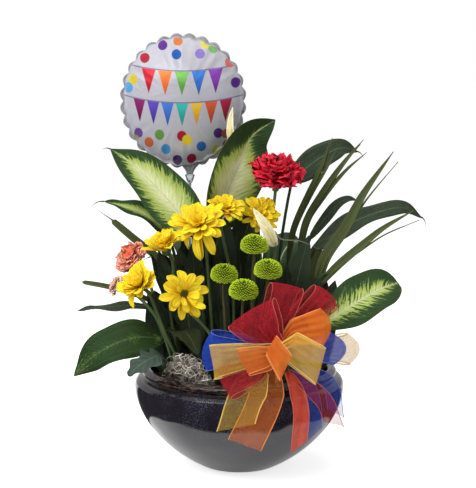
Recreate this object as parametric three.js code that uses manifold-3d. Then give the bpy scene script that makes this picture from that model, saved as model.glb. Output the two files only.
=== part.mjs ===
// A florist's planter: a dark glazed bowl of leaves and flowers with a foil balloon and a ribbon bow.
// Millimetres, +Z up. The origin is the middle of the bowl's flat base, and the front faces -Y.

import * as THREE from 'three';
import { mergeVertices } from 'three/addons/utils/BufferGeometryUtils.js';
import Module from 'manifold-3d';

const wasm = await Module();
wasm.setup();

// Driving dimensions

const BASE_RADIUS = 45;
const BELLY_RADIUS = 131;
const BELLY_HEIGHT = 104;
const LIP_RADIUS = 121;
const RIM_HEIGHT = 127;
const BOWL_WALL = 7;
const BOWL_FLOOR = 9;
const BOWL_SEGMENTS = 36;

const SOIL_TOP = 112;
const ROOT_BOTTOM = 88;
const GAP = 0.4;

const BALLOON_CENTRE = [-71, 55, 455];
const BALLOON_HALF_WIDTH = 80;
const BALLOON_HALF_HEIGHT = 85;
const BALLOON_HALF_DEPTH = 38;
const BALLOON_PUCKERS = 28;
const BALLOON_PUCKER_DEPTH = 0.022;
const BALLOON_NECK_BOTTOM = 362;
const BALLOON_NECK_SHIFT = 8;
const BALLOON_NECK_HALF_WIDTH = 3.5;
const BALLOON_NECK_FLARE = 11;
const BALLOON_NECK_HALF_DEPTH = 1.8;
const BALLOON_NECK_OVERLAP = 8;
const BALLOON_FILM = 0.8;
const CUP_HEIGHT = 11;
const CUP_RADIUS = 6.5;
const STICK_ROOT = [-52, 46];
const STICK_RADIUS = 2;

const RIBBON_THICKNESS = 0.8;
const KNOT = [44, -137, 176];
const PICK_END = [44, -72, 92];
const PICK_SOCKET_END = [44, -71.6, 91.5];
const PICK_RADIUS = 1.8;
const LOOP_GATHER_DEPTH = 2;
const TAIL_PINCH = 0.28;
const TAIL_OPENING = 2.2;

const LEAF_THICKNESS = 1;
const TIP_HALF_WIDTH = 0.8;
const STALK_RADIUS = 2;
const THIN_STALK_RADIUS = 1.8;
const STEM_BEHIND_HEAD = 24;
const CROWN_SPREAD = 1.5;
const CROWN_SOCKET_RADIUS = 6.5;

const BUTTON_FACE = [0.05, -0.3, 0.95];
const BUTTON_FLATNESS = 0.72;

const CARNATION_CROWN = 0.62;
const CARNATION_UNDERSIDE = 0.36;
const CALYX_LENGTH = 22;

// Colours, roughness and metalness of the finishes

const FINISHES = {
  glaze: [0x1d1c22, 0.15, 0.1],
  soil: [0x1c1512, 0.95, 0],
  moss: [0x8b8172, 0.9, 0],
  foil: [0xc5c3c6, 0.2, 0.9],
  clearPlastic: [0xe8ebee, 0.2, 0],
  wood: [0xc9a878, 0.7, 0],
  variegated: [0x7d9c45, 0.4, 0],
  darkLeaf: [0x2b4429, 0.4, 0],
  palm: [0x4f6038, 0.5, 0],
  mumLeaf: [0x3d5343, 0.6, 0],
  spathe: [0xf1ecd2, 0.5, 0],
  yellow: [0xf7cf14, 0.6, 0],
  green: [0x9bbd2b, 0.7, 0],
  red: [0xc5182c, 0.6, 0],
  salmon: [0xe57a5b, 0.6, 0],
  peach: [0xe0a291, 0.6, 0],
  ribbonRed: [0xc0212f, 0.5, 0],
  ribbonOrange: [0xe8792a, 0.5, 0],
  ribbonYellow: [0xd9b44a, 0.5, 0],
  ribbonBlue: [0x2a49c4, 0.5, 0],
};

const planter = new THREE.Group();
const roots = [];

// Helpers

function vec(point) {
  return new THREE.Vector3(...point);
}

function curveThrough(points) {
  return new THREE.CatmullRomCurve3(points.map(vec), false, 'catmullrom', 0.5);
}

function solidOf(geometry) {
  const bare = geometry.clone();
  bare.deleteAttribute('normal');
  bare.deleteAttribute('uv');
  const merged = mergeVertices(bare, 1e-4);
  return new wasm.Manifold(new wasm.Mesh({
    numProp: 3,
    vertProperties: new Float32Array(merged.attributes.position.array),
    triVerts: new Uint32Array(merged.index.array),
  }));
}

function geometryOf(solid) {
  const mesh = solid.getMesh();
  const geometry = new THREE.BufferGeometry();
  geometry.setAttribute('position', new THREE.BufferAttribute(mesh.vertProperties, mesh.numProp));
  geometry.setIndex(new THREE.BufferAttribute(mesh.triVerts, 1));
  geometry.computeVertexNormals();
  return geometry;
}

function addPiece(name, finish, solid) {
  const [color, roughness, metalness] = FINISHES[finish];
  const material = new THREE.MeshStandardMaterial({ color, roughness, metalness });
  const mesh = new THREE.Mesh(geometryOf(solid), material);
  mesh.name = name;
  planter.add(mesh);
}

// A round tube carried along a smooth curve.
function tube(points, radius, steps, sides = 5) {
  const section = new THREE.Shape();
  const corners = Array.from({ length: sides }, (_, i) => {
    const angle = (2 * Math.PI * i) / sides;
    return new THREE.Vector2(radius * Math.cos(angle), radius * Math.sin(angle));
  });
  section.setFromPoints(corners);
  const geometry = new THREE.ExtrudeGeometry(section, {
    steps,
    bevelEnabled: false,
    extrudePath: curveThrough(points),
  });
  return solidOf(geometry);
}

// A thin slab whose every point (u along 0..1, v across -1..1, w through -1..1) goes where place says.
function slab(alongSteps, acrossSteps, place) {
  const geometry = new THREE.BoxGeometry(1, 2, 2, alongSteps, acrossSteps, 1);
  const position = geometry.attributes.position;
  for (let i = 0; i < position.count; i += 1) {
    const point = place(position.getX(i) + 0.5, position.getY(i), position.getZ(i));
    position.setXYZ(i, point.x, point.y, point.z);
  }
  return solidOf(geometry);
}

// The frame of a curve at u: point, tangent, upper-side normal and sideways direction.
function frameAt(curve, u, face) {
  const point = curve.getPoint(u);
  const along = curve.getTangent(u);
  const up = vec(face).addScaledVector(along, -vec(face).dot(along)).normalize();
  const side = new THREE.Vector3().crossVectors(up, along);
  return { point, along, up, side };
}

// A leaf outline, 0 at both ends and 1 at its widest: u to the a, times (1 - u) to the b.
function outline(u, a, b) {
  const widest = a / (a + b);
  return (u ** a * (1 - u) ** b) / (widest ** a * (1 - widest) ** b);
}

// A leaf blade on a midrib curve, folded up along the midrib by fold radians on each side.
function leafBlade({ midrib, halfWidth, face, fold = 0.25, shape = [0.5, 0.85], steps = 7 }) {
  const curve = curveThrough(midrib);
  return slab(steps, 2, (u, v, w) => {
    const { point, up, side } = frameAt(curve, u, face);
    const reach = v * Math.max(TIP_HALF_WIDTH, halfWidth * outline(u, ...shape));
    return point
      .addScaledVector(side, reach * Math.cos(fold))
      .addScaledVector(up, Math.abs(reach) * Math.sin(fold) + (w * LEAF_THICKNESS) / 2);
  });
}

// A stem that starts upright in the soil at [x, y].
function stemFrom([x, y], through, radius, steps) {
  return tube([[x, y, ROOT_BOTTOM], [x, y, SOIL_TOP - 6], ...through], radius, steps);
}

// A stem with a socket that fits it closely, cut in the soil later.
function rootedStem(root, through, radius, steps = 5) {
  const [x, y] = root;
  const upright = [[x, y, ROOT_BOTTOM - GAP], [x, y, SOIL_TOP - 6]];
  roots.push(tube([...upright, ...through], radius + GAP, steps));
  return stemFrom(root, through, radius, steps);
}

// Stalks of one plant, joined at its crown, which has one round socket in the soil.
function crownStems([x, y], paths, radius, steps) {
  roots.push(tube([[x, y, ROOT_BOTTOM - GAP], [x, y, SOIL_TOP + 1]], CROWN_SOCKET_RADIUS, 1, 10));
  return paths.map((through, index) => {
    const angle = (2 * Math.PI * index) / paths.length + 0.4;
    const foot = [x + CROWN_SPREAD * Math.cos(angle), y + CROWN_SPREAD * Math.sin(angle)];
    return stemFrom(foot, through, radius, steps);
  });
}

function joined(solids) {
  return solids.reduce((whole, solid) => whole.add(solid));
}

// Local +Z turned to face, then moved to place.
function aimed(geometry, place, face) {
  const turn = new THREE.Quaternion().setFromUnitVectors(new THREE.Vector3(0, 0, 1), vec(face).normalize());
  return solidOf(geometry.clone().applyQuaternion(turn).translate(...place));
}

// The bowl, the soil and the moss

function bellyCurve(inset) {
  return new THREE.CubicBezierCurve(
    new THREE.Vector2(BASE_RADIUS - inset, inset),
    new THREE.Vector2(88 - inset, 20 + inset),
    new THREE.Vector2(BELLY_RADIUS - inset, 62),
    new THREE.Vector2(BELLY_RADIUS - inset, BELLY_HEIGHT),
  );
}

function lathe(profile) {
  const geometry = new THREE.LatheGeometry(profile.map(([r, z]) => new THREE.Vector2(r, z)), BOWL_SEGMENTS);
  return solidOf(geometry.rotateX(Math.PI / 2));
}

function makeBowl() {
  const outside = bellyCurve(0).getPoints(7).map((p) => [p.x, p.y]);
  const inside = bellyCurve(BOWL_WALL).getPoints(6).map((p) => [p.x, Math.max(BOWL_FLOOR, p.y)]);
  const rim = [
    [BELLY_RADIUS - 1.5, BELLY_HEIGHT + 6],
    [BELLY_RADIUS - 5, BELLY_HEIGHT + 10.5],
    [LIP_RADIUS + 0.5, BELLY_HEIGHT + 12.5],
    [LIP_RADIUS - 1.5, BELLY_HEIGHT + 13.5],
    [LIP_RADIUS, BELLY_HEIGHT + 17],
    [LIP_RADIUS - 1.5, RIM_HEIGHT - 2],
    [LIP_RADIUS - 5.5, RIM_HEIGHT],
    [LIP_RADIUS - 10, RIM_HEIGHT - 2],
    [LIP_RADIUS - 12, RIM_HEIGHT - 6],
    [LIP_RADIUS - 9, BELLY_HEIGHT + 9],
  ];
  const profile = [[0, 0], ...outside, ...rim, ...inside.reverse(), [0, BOWL_FLOOR]];
  return lathe(profile);
}

function makeSoil() {
  const wall = bellyCurve(BOWL_WALL + GAP).getPoints(6).map((p) => [p.x, p.y]);
  const bottom = BOWL_FLOOR + GAP;
  const inside = wall.filter(([, z]) => z > bottom + 1);
  const profile = [
    [0, bottom],
    [BASE_RADIUS - BOWL_WALL - GAP, bottom],
    ...inside,
    [LIP_RADIUS - 10 - GAP, SOIL_TOP - 0.5],
    [LIP_RADIUS - 14, SOIL_TOP],
    [0, SOIL_TOP],
  ];
  return roots.reduce((soil, root) => soil.subtract(root), lathe(profile));
}

// A heap of moss on the soil, thickest in the middle and lower on its inner side.
function makeMoss() {
  const middleAngle = -2.24;
  const halfAngle = 0.31;
  const middleRadius = 97;
  const halfBreadth = 11;
  const height = 36;
  const innerDrop = 0.75;
  return slab(8, 4, (u, v, w) => {
    const angle = middleAngle + (2 * u - 1) * halfAngle;
    const radius = middleRadius - halfBreadth * v;
    const inner = 1 - innerDrop * Math.max(0, v);
    const swell = Math.max(0.06, (1 - (2 * u - 1) ** 4) * (1 - v ** 4) * inner);
    const z = SOIL_TOP + GAP + (w < 0 ? 0 : height * swell);
    return new THREE.Vector3(radius * Math.cos(angle), radius * Math.sin(angle), z);
  });
}

// The foil balloon, its cup and its stick

// The balloon's outer form drawn in by inset: a round lens with a puckered seam and a flat neck.
function balloonForm(inset) {
  const [cx, cy, cz] = BALLOON_CENTRE;
  const halfDepth = BALLOON_HALF_DEPTH - inset;
  const lens = new THREE.SphereGeometry(1, 2 * BALLOON_PUCKERS, 6);
  const position = lens.attributes.position;
  for (let i = 0; i < position.count; i += 1) {
    const [x, y, z] = [position.getX(i), position.getY(i), position.getZ(i)];
    const angle = Math.atan2(z, x);
    const fold = 0.5 + 0.5 * Math.cos(BALLOON_PUCKERS * angle);
    const pucker = 1 - BALLOON_PUCKER_DEPTH * fold * Math.hypot(x, z) ** 8;
    position.setXYZ(
      i,
      cx + (BALLOON_HALF_WIDTH - 2 * inset) * pucker * x,
      cy + halfDepth * Math.sign(y) * Math.abs(y) ** 1.15,
      cz + (BALLOON_HALF_HEIGHT - 2 * inset) * pucker * z,
    );
  }
  const neckTop = cz - BALLOON_HALF_HEIGHT + BALLOON_NECK_OVERLAP;
  const neckBottom = BALLOON_NECK_BOTTOM - inset;
  const neck = slab(1, 3, (u, v, w) => {
    const down = (1 - v) / 2;
    const halfBreadth = BALLOON_NECK_HALF_WIDTH + BALLOON_NECK_FLARE * (1 - down) ** 2 - inset;
    const x = cx + BALLOON_NECK_SHIFT + (2 * u - 1) * halfBreadth;
    const y = cy - w * (BALLOON_NECK_HALF_DEPTH - inset);
    return new THREE.Vector3(x, y, neckTop + (neckBottom - neckTop) * down);
  });
  return solidOf(lens).add(neck);
}

// The filled balloon is a thin film, open only where it was filled through its neck.
function makeBalloon() {
  return balloonForm(0).subtract(balloonForm(BALLOON_FILM));
}

function makeBalloonCup() {
  const wall = [[3, 0], [CUP_RADIUS, CUP_HEIGHT - 2], [CUP_RADIUS, CUP_HEIGHT]];
  const profile = [[0, 0], ...wall, [0, CUP_HEIGHT]];
  const geometry = new THREE.LatheGeometry(profile.map(([r, z]) => new THREE.Vector2(r, z)), 12);
  const [cx, cy] = BALLOON_CENTRE;
  const foot = BALLOON_NECK_BOTTOM - GAP - CUP_HEIGHT;
  return solidOf(geometry.rotateX(Math.PI / 2).translate(cx + BALLOON_NECK_SHIFT, cy, foot));
}

function makeBalloonStick() {
  const [cx, cy] = BALLOON_CENTRE;
  const x = cx + BALLOON_NECK_SHIFT;
  const top = BALLOON_NECK_BOTTOM - GAP - CUP_HEIGHT - GAP;
  return rootedStem(STICK_ROOT, [[x + 1, cy - 3, 240], [x, cy, top - 12], [x, cy, top]], STICK_RADIUS);
}

// Leaves: each is a blade and its stalk in one piece

const LEAVES = [
  {
    name: 'dumbcane_leaf_upper_left',
    finish: 'variegated',
    root: [-46, 14],
    stalk: [[-48, 0, 200]],
    midrib: [[-56, -10, 290], [-75, -2, 318], [-100, 8, 346], [-132, 18, 376], [-161, 24, 396]],
    halfWidth: 33,
    face: [0.25, -0.9, 0.45],
  },
  {
    name: 'dumbcane_leaf_left_curled',
    finish: 'variegated',
    root: [-66, 16],
    stalk: [[-72, 12, 220]],
    midrib: [[-88, 6, 290], [-105, 4, 307], [-126, 4, 320], [-148, 4, 327], [-168, 6, 332]],
    halfWidth: 13,
    face: [0.2, -0.75, 0.65],
    fold: 0.5,
  },
  {
    name: 'dumbcane_leaf_centre',
    finish: 'variegated',
    root: [-22, 26],
    stalk: [[-28, 20, 200]],
    midrib: [[-26, 14, 296], [-14, 15, 345], [2, 20, 382], [16, 26, 412], [45, 34, 432]],
    halfWidth: 38,
    face: [0.42, -0.86, 0.1],
    fold: 0.42,
  },
  {
    name: 'dumbcane_leaf_right',
    finish: 'variegated',
    root: [76, -38],
    stalk: [[84, -50, 155]],
    midrib: [[98, -58, 190], [120, -62, 210], [146, -60, 228], [170, -52, 241], [193, -42, 246]],
    halfWidth: 35,
    face: [-0.15, -0.75, 0.65],
    fold: 0.2,
  },
  {
    name: 'dumbcane_leaf_lower_left',
    finish: 'darkLeaf',
    root: [-72, -28],
    stalk: [[-80, -38, 152]],
    midrib: [[-94, -44, 168], [-126, -58, 172], [-156, -68, 163], [-180, -70, 148], [-199, -70, 128]],
    halfWidth: 29,
    face: [-0.2, -0.75, 0.65],
    fold: 0.18,
  },
  {
    name: 'dumbcane_leaf_low_centre',
    finish: 'darkLeaf',
    root: [-66, -38],
    stalk: [[-72, -38, 146]],
    midrib: [[-76, -44, 168], [-72, -54, 179], [-64, -66, 180], [-56, -79, 171], [-49, -90, 158]],
    halfWidth: 17,
    face: [0.3, -0.5, 0.8],
    fold: 0.15,
  },
  {
    name: 'peace_lily_leaf_behind',
    finish: 'darkLeaf',
    root: [44, 44],
    stalk: [[48, 42, 230]],
    midrib: [[56, 34, 345], [80, 38, 376], [106, 42, 394], [130, 44, 402], [149, 44, 392]],
    halfWidth: 18,
    face: [0.1, -0.85, 0.5],
  },
  {
    name: 'peace_lily_leaf_right',
    finish: 'darkLeaf',
    root: [66, 8],
    stalk: [[70, 5, 190]],
    midrib: [[92, 4, 270], [128, 12, 296], [166, 22, 313], [204, 28, 321], [232, 28, 308]],
    halfWidth: 17,
    face: [-0.1, -0.6, 0.8],
  },
  {
    name: 'peace_lily_leaf_narrow',
    finish: 'darkLeaf',
    root: [60, 34],
    stalk: [[66, 30, 200]],
    midrib: [[88, 20, 282], [106, 22, 306], [122, 24, 325], [136, 26, 333], [149, 28, 331]],
    halfWidth: 7,
    face: [0.1, -0.8, 0.6],
  },
  {
    name: 'peace_lily_leaf_left',
    finish: 'darkLeaf',
    root: [-74, 2],
    stalk: [[-82, -2, 160]],
    midrib: [[-96, -6, 198], [-122, -14, 203], [-150, -18, 203], [-178, -20, 202], [-200, -20, 199]],
    halfWidth: 16,
    face: [0, -0.12, 1],
    fold: 0.12,
  },
  {
    name: 'peace_lily_leaf_middle',
    finish: 'darkLeaf',
    root: [12, 30],
    stalk: [[10, 26, 140]],
    midrib: [[6, 20, 170], [2, 16, 210], [2, 16, 250], [8, 22, 290], [20, 32, 320]],
    halfWidth: 30,
    face: [0.1, -1, 0.2],
  },
  {
    name: 'peace_lily_leaf_middle_right',
    finish: 'darkLeaf',
    root: [46, 12],
    stalk: [[46, 6, 135]],
    midrib: [[57, -4, 160], [63, -12, 190], [70, -12, 225], [78, -8, 260], [86, 0, 290]],
    halfWidth: 18,
    face: [-0.1, -1, 0.3],
  },
  {
    name: 'peace_lily_leaf_middle_left',
    finish: 'darkLeaf',
    root: [-58, -6],
    stalk: [[-58, -10, 130]],
    midrib: [[-58, -14, 150], [-62, -16, 180], [-66, -16, 210], [-70, -12, 245], [-74, -4, 275]],
    halfWidth: 23,
    face: [-0.1, -1, 0.2],
  },
  {
    name: 'dumbcane_leaf_back_left',
    finish: 'variegated',
    root: [-24, 62],
    stalk: [[-26, 72, 160]],
    midrib: [[-32, 82, 205], [-44, 96, 236], [-60, 114, 258], [-78, 134, 268], [-94, 150, 262]],
    halfWidth: 28,
    face: [-0.2, -0.45, 0.85],
  },
  {
    name: 'dumbcane_leaf_back_right',
    finish: 'variegated',
    root: [38, 68],
    stalk: [[42, 78, 170]],
    midrib: [[46, 86, 215], [53, 98, 242], [63, 116, 259], [76, 136, 264], [90, 152, 254]],
    halfWidth: 26,
    face: [0.2, -0.45, 0.85],
  },
  {
    name: 'chrysanthemum_leaf_low',
    finish: 'mumLeaf',
    root: [-88, -46],
    stalk: [[-92, -58, 134]],
    midrib: [[-88, -72, 148], [-96, -86, 156], [-106, -98, 155], [-119, -107, 148], [-130, -112, 138]],
    halfWidth: 19,
    face: [-0.2, -0.7, 0.75],
    fold: 0.15,
    steps: 5,
  },
];

// The peace lily at the back: leaves that arch over the rim from one crown.
const BACK_LILY_ROOT = [8, 84];
const BACK_LILY_LEAVES = [
  {
    stalk: [[6, 90, 140]],
    midrib: [[4, 96, 176], [2, 106, 208], [2, 122, 234], [4, 142, 248], [6, 160, 244]],
    halfWidth: 22,
    face: [0, -0.6, 0.8],
  },
  {
    stalk: [[-4, 88, 130]],
    midrib: [[-26, 94, 154], [-48, 104, 178], [-72, 118, 190], [-94, 130, 186], [-110, 140, 172]],
    halfWidth: 19,
    face: [-0.3, -0.4, 0.85],
  },
  {
    stalk: [[20, 88, 130]],
    midrib: [[42, 94, 156], [62, 104, 182], [82, 118, 196], [102, 130, 192], [116, 140, 178]],
    halfWidth: 19,
    face: [0.3, -0.4, 0.85],
  },
  {
    stalk: [[2, 92, 126]],
    midrib: [[-12, 104, 144], [-26, 122, 158], [-38, 144, 158], [-46, 162, 142], [-50, 172, 122]],
    halfWidth: 17,
    face: [-0.1, 0.2, 0.97],
  },
  {
    stalk: [[14, 92, 126]],
    midrib: [[28, 104, 144], [40, 122, 160], [50, 144, 162], [56, 162, 148], [58, 172, 128]],
    halfWidth: 17,
    face: [0.1, 0.2, 0.97],
  },
];

function makeBackLily() {
  const paths = BACK_LILY_LEAVES.map(({ stalk, midrib }) => [...stalk, midrib[0], midrib[1]]);
  const stalks = crownStems(BACK_LILY_ROOT, paths, STALK_RADIUS, 7);
  addPiece('peace_lily_leaves_back', 'darkLeaf', joined([...stalks, ...BACK_LILY_LEAVES.map(leafBlade)]));
}

function makeLeaf(leaf) {
  const stalk = rootedStem(leaf.root, [...leaf.stalk, leaf.midrib[0], leaf.midrib[1]], STALK_RADIUS, 7);
  addPiece(leaf.name, leaf.finish, leafBlade(leaf).add(stalk));
}

// Palm blades: long and narrow, in ones and twos from one root in the soil

const PALM_FORM = { face: [-0.1, -0.9, 0.35], shape: [0.35, 0.7], fold: 0.4 };
const BACK_PALM_FACE = [0.2, -0.45, 0.87];
const PALMS = [
  {
    name: 'palm_blades_left',
    root: [-86, 16],
    blades: [
      {
        midrib: [[-86, 22, 240], [-100, 16, 268], [-126, 16, 285], [-152, 18, 295], [-176, 20, 308]],
        halfWidth: 5,
      },
      {
        midrib: [[-92, 8, 195], [-112, 6, 213], [-138, 2, 222], [-164, 0, 229], [-193, -2, 236]],
        halfWidth: 4,
      },
    ],
  },
  {
    name: 'palm_blades_tall',
    root: [68, 48],
    blades: [
      {
        midrib: [[62, 50, 250], [70, 42, 294], [88, 32, 340], [107, 24, 382], [116, 22, 410]],
        halfWidth: 6,
      },
      {
        midrib: [[76, 38, 250], [84, 34, 300], [104, 32, 338], [130, 32, 376], [156, 34, 407]],
        halfWidth: 7,
      },
    ],
  },
  {
    name: 'palm_blades_leaning',
    root: [90, -22],
    blades: [
      {
        midrib: [[95, -23, 228], [106, -24, 266], [130, -26, 304], [152, -28, 346], [186, -32, 396]],
        halfWidth: 7,
      },
      {
        midrib: [[96, -37, 232], [118, -38, 256], [146, -42, 281], [174, -46, 305], [210, -50, 327]],
        halfWidth: 5,
      },
    ],
  },
  {
    name: 'palm_blade_broad',
    root: [84, 20],
    blades: [
      {
        midrib: [[84, 22, 170], [84, 22, 205], [88, 22, 240], [98, 24, 268], [108, 26, 288]],
        halfWidth: 13,
      },
    ],
  },
  {
    name: 'palm_blades_back',
    root: [-58, 74],
    blades: [
      {
        midrib: [[-64, 80, 190], [-74, 88, 222], [-88, 98, 246], [-104, 110, 258], [-120, 122, 256]],
        halfWidth: 7,
        face: BACK_PALM_FACE,
      },
      {
        midrib: [[-57, 84, 165], [-59, 98, 190], [-63, 116, 208], [-69, 138, 214], [-76, 156, 204]],
        halfWidth: 7,
        face: BACK_PALM_FACE,
      },
    ],
  },
];

function makePalm({ name, root, blades }) {
  const paths = blades.map(({ midrib }) => midrib.slice(0, 2));
  const stalks = crownStems(root, paths, THIN_STALK_RADIUS, 4);
  const leaves = blades.map((blade) => leafBlade({ ...PALM_FORM, ...blade }));
  addPiece(name, 'palm', joined([...stalks, ...leaves]));
}

// Peace-lily flowers: a white spathe on a stem

const SPATHES = [
  {
    name: 'peace_lily_flower_tall',
    root: [-4, 40],
    stalk: [[-2, 34, 250]],
    midrib: [[-5, 18, 396], [-8, 16, 412], [-9, 14, 430], [-8, 14, 448]],
    halfWidth: 6.5,
    face: [-0.5, -0.8, 0.1],
  },
  {
    name: 'peace_lily_flower_small',
    root: [32, 4],
    stalk: [[35, -14, 190]],
    midrib: [[44, -32, 281], [39, -36, 294], [29, -36, 311], [17, -32, 327]],
    halfWidth: 9,
    face: [-0.3, -0.9, 0.3],
  },
];

function makeSpathe(spathe) {
  const through = [...spathe.stalk, spathe.midrib[0], spathe.midrib[1]];
  const stalk = rootedStem(spathe.root, through, THIN_STALK_RADIUS, 7);
  const blade = leafBlade({ ...spathe, fold: 0.6, shape: [0.5, 0.8], steps: 5 });
  addPiece(spathe.name, 'spathe', blade.add(stalk));
}

// Flowers: a head at a place, facing a direction, on a stem

// A stem from its root, round its bend and straight into the back of a head.
function stemTo({ root, place, face, bend }, radius) {
  const forward = vec(face).normalize();
  const behind = vec(place).addScaledVector(forward, -STEM_BEHIND_HEAD).toArray();
  const inside = vec(place).addScaledVector(forward, -1).toArray();
  return rootedStem(root, [bend, behind, inside], radius);
}

// A disc of petals that rises to its rim by lift radians; the rim dips between each two petals.
function daisyHead({ place, face, radius, lift }) {
  const petals = 13;
  const thickness = 3;
  const dip = 0.24;
  const disc = new THREE.SphereGeometry(1, 2 * petals, 5).rotateX(Math.PI / 2);
  const position = disc.attributes.position;
  for (let i = 0; i < position.count; i += 1) {
    const [x, y, z] = [position.getX(i), position.getY(i), position.getZ(i)];
    const ring = Math.hypot(x, y);
    const between = 0.5 - 0.5 * Math.cos(petals * Math.atan2(y, x));
    const reach = radius * Math.cos(lift * ring) * (1 - dip * between * ring);
    position.setXYZ(i, reach * x, reach * y, radius * Math.sin(lift) * ring ** 2 + thickness * z);
  }
  return aimed(disc, place, face);
}

const DAISIES = [
  {
    name: 'daisy_top_left',
    root: [-30, -14],
    place: [-48, -58, 309],
    face: [-0.25, -0.75, 0.6],
    radius: 36,
    lift: 0.25,
    bend: [-36, -20, 210],
  },
  {
    name: 'daisy_top_right',
    root: [-8, -4],
    place: [-18, -26, 325],
    face: [0.2, -0.5, 0.85],
    radius: 27,
    lift: 0.3,
    bend: [-8, -12, 220],
  },
  {
    name: 'daisy_side_view',
    root: [-62, -24],
    place: [-89, -39, 277],
    face: [-0.35, -0.25, 0.9],
    radius: 29,
    lift: 0.75,
    bend: [-84, -28, 190],
  },
  {
    name: 'daisy_left_cup',
    root: [-58, -46],
    place: [-118, -70, 238],
    face: [-0.45, -0.6, 0.65],
    radius: 30,
    lift: 0.7,
    bend: [-88, -62, 176],
  },
  {
    name: 'daisy_front',
    root: [-30, -62],
    place: [-65, -98, 233],
    face: [-0.1, -0.93, 0.35],
    radius: 33,
    lift: 0.15,
    bend: [-32, -80, 176],
  },
  {
    name: 'daisy_right',
    root: [16, -6],
    place: [25, -6, 316],
    face: [0.25, -0.85, 0.5],
    radius: 27,
    lift: 0.35,
    bend: [18, -8, 210],
  },
];

function makeDaisy(daisy) {
  addPiece(daisy.name, 'yellow', daisyHead(daisy).add(stemTo(daisy, STALK_RADIUS)));
}

const BUTTONS = [
  { name: 'button_flower_top', root: [12, -34], place: [18, -58, 285], bend: [15, -44, 200], radius: 17.5 },
  { name: 'button_flower_right', root: [26, -38], place: [34, -78, 258], bend: [30, -52, 190], radius: 17.5 },
  { name: 'button_flower_left', root: [-18, -44], place: [-18, -66, 251], bend: [-17, -54, 180], radius: 17 },
  { name: 'button_flower_low', root: [2, -52], place: [5, -88, 235], bend: [3, -62, 170], radius: 18 },
];

function makeButton({ name, root, place, bend, radius }) {
  const dome = new THREE.SphereGeometry(radius, 12, 6).rotateX(Math.PI / 2).scale(1, 1, BUTTON_FLATNESS);
  const stem = stemTo({ root, place, bend, face: BUTTON_FACE }, THIN_STALK_RADIUS);
  addPiece(name, 'green', aimed(dome, place, BUTTON_FACE).add(stem));
}

// A ruffled half ball of petals over a tapering calyx.
function carnationHead({ place, face, radius }) {
  const ball = new THREE.SphereGeometry(1, 16, 6).rotateX(Math.PI / 2);
  const position = ball.attributes.position;
  for (let i = 0; i < position.count; i += 1) {
    const [x, y, z] = [position.getX(i), position.getY(i), position.getZ(i)];
    const ring = Math.sqrt(x * x + y * y);
    const ruffle = 1 + 0.07 * ring ** 3 * Math.cos(8 * Math.atan2(y, x));
    const flatness = z > 0 ? CARNATION_CROWN : CARNATION_UNDERSIDE;
    position.setXYZ(i, radius * ruffle * x, radius * ruffle * y, radius * flatness * z);
  }
  const calyx = new THREE.CylinderGeometry(5.5, 3.5, CALYX_LENGTH, 8).rotateX(Math.PI / 2);
  calyx.translate(0, 0, 2 - radius * CARNATION_UNDERSIDE - CALYX_LENGTH / 2);
  return aimed(ball, place, face).add(aimed(calyx, place, face));
}

const CARNATIONS = [
  {
    name: 'carnation_red',
    finish: 'red',
    root: [28, 22],
    place: [46, -12, 370],
    face: [0.05, -0.5, 0.87],
    bend: [34, 12, 240],
    radius: 36,
  },
  {
    name: 'carnation_salmon',
    finish: 'salmon',
    root: [-84, -10],
    place: [-134, -20, 267],
    face: [-0.5, -0.55, 0.65],
    bend: [-100, -24, 195],
    radius: 22,
  },
  {
    name: 'carnation_peach',
    finish: 'peach',
    root: [-74, -40],
    place: [-150, -38, 234],
    face: [-0.8, -0.3, 0.5],
    bend: [-95, -54, 186],
    radius: 13,
  },
];

function makeCarnation(flower) {
  const belowHead = -flower.radius * CARNATION_UNDERSIDE - 6;
  const foot = vec(flower.place).addScaledVector(vec(flower.face).normalize(), belowHead).toArray();
  const stem = stemTo({ ...flower, place: foot }, STALK_RADIUS);
  addPiece(flower.name, flower.finish, carnationHead(flower).add(stem));
}

// The bow: every strand is gathered at its own place in the knot and opens to its far edge

// A loop goes out to its far edge and comes back behind, bulging by its puff on both sides.
function loopBand({ edge, gather, puff, pinch = 0.3 }) {
  const [top, bottom] = edge.map(vec);
  const start = vec(gather);
  const outward = top.clone().add(bottom).multiplyScalar(0.5).sub(start);
  const halfEdge = top.clone().sub(bottom).multiplyScalar(0.5);
  const front = new THREE.Vector3().crossVectors(outward, halfEdge).normalize();
  if (front.y > 0) {
    front.negate();
    halfEdge.negate();
  }
  return slab(10, 1, (u, v, w) => {
    const reach = Math.sin(Math.PI * u);
    const turn = Math.cos(Math.PI * u);
    const thick = (w * RIBBON_THICKNESS) / 2;
    return start.clone()
      .addScaledVector(outward, reach + (thick / outward.length()) * reach)
      .addScaledVector(halfEdge, v * (pinch + (1 - pinch) * reach ** 0.7))
      .addScaledVector(front, turn * (LOOP_GATHER_DEPTH + puff * reach ** 0.8 + thick));
  });
}

// A tail hangs along its own curve from the knot to its cut end; cut slants the end.
function tailBand({ line, halfWidth, cut = 0 }) {
  const curve = curveThrough(line);
  return slab(6, 1, (u, v, w) => {
    const { point, along, up, side } = frameAt(curve, u, [0, -1, 0.1]);
    const opening = TAIL_PINCH + (1 - TAIL_PINCH) * Math.min(1, TAIL_OPENING * u) ** 0.8;
    return point
      .addScaledVector(side, v * opening * halfWidth)
      .addScaledVector(along, v * cut * u ** 6)
      .addScaledVector(up, (w * RIBBON_THICKNESS) / 2);
  });
}

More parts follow.
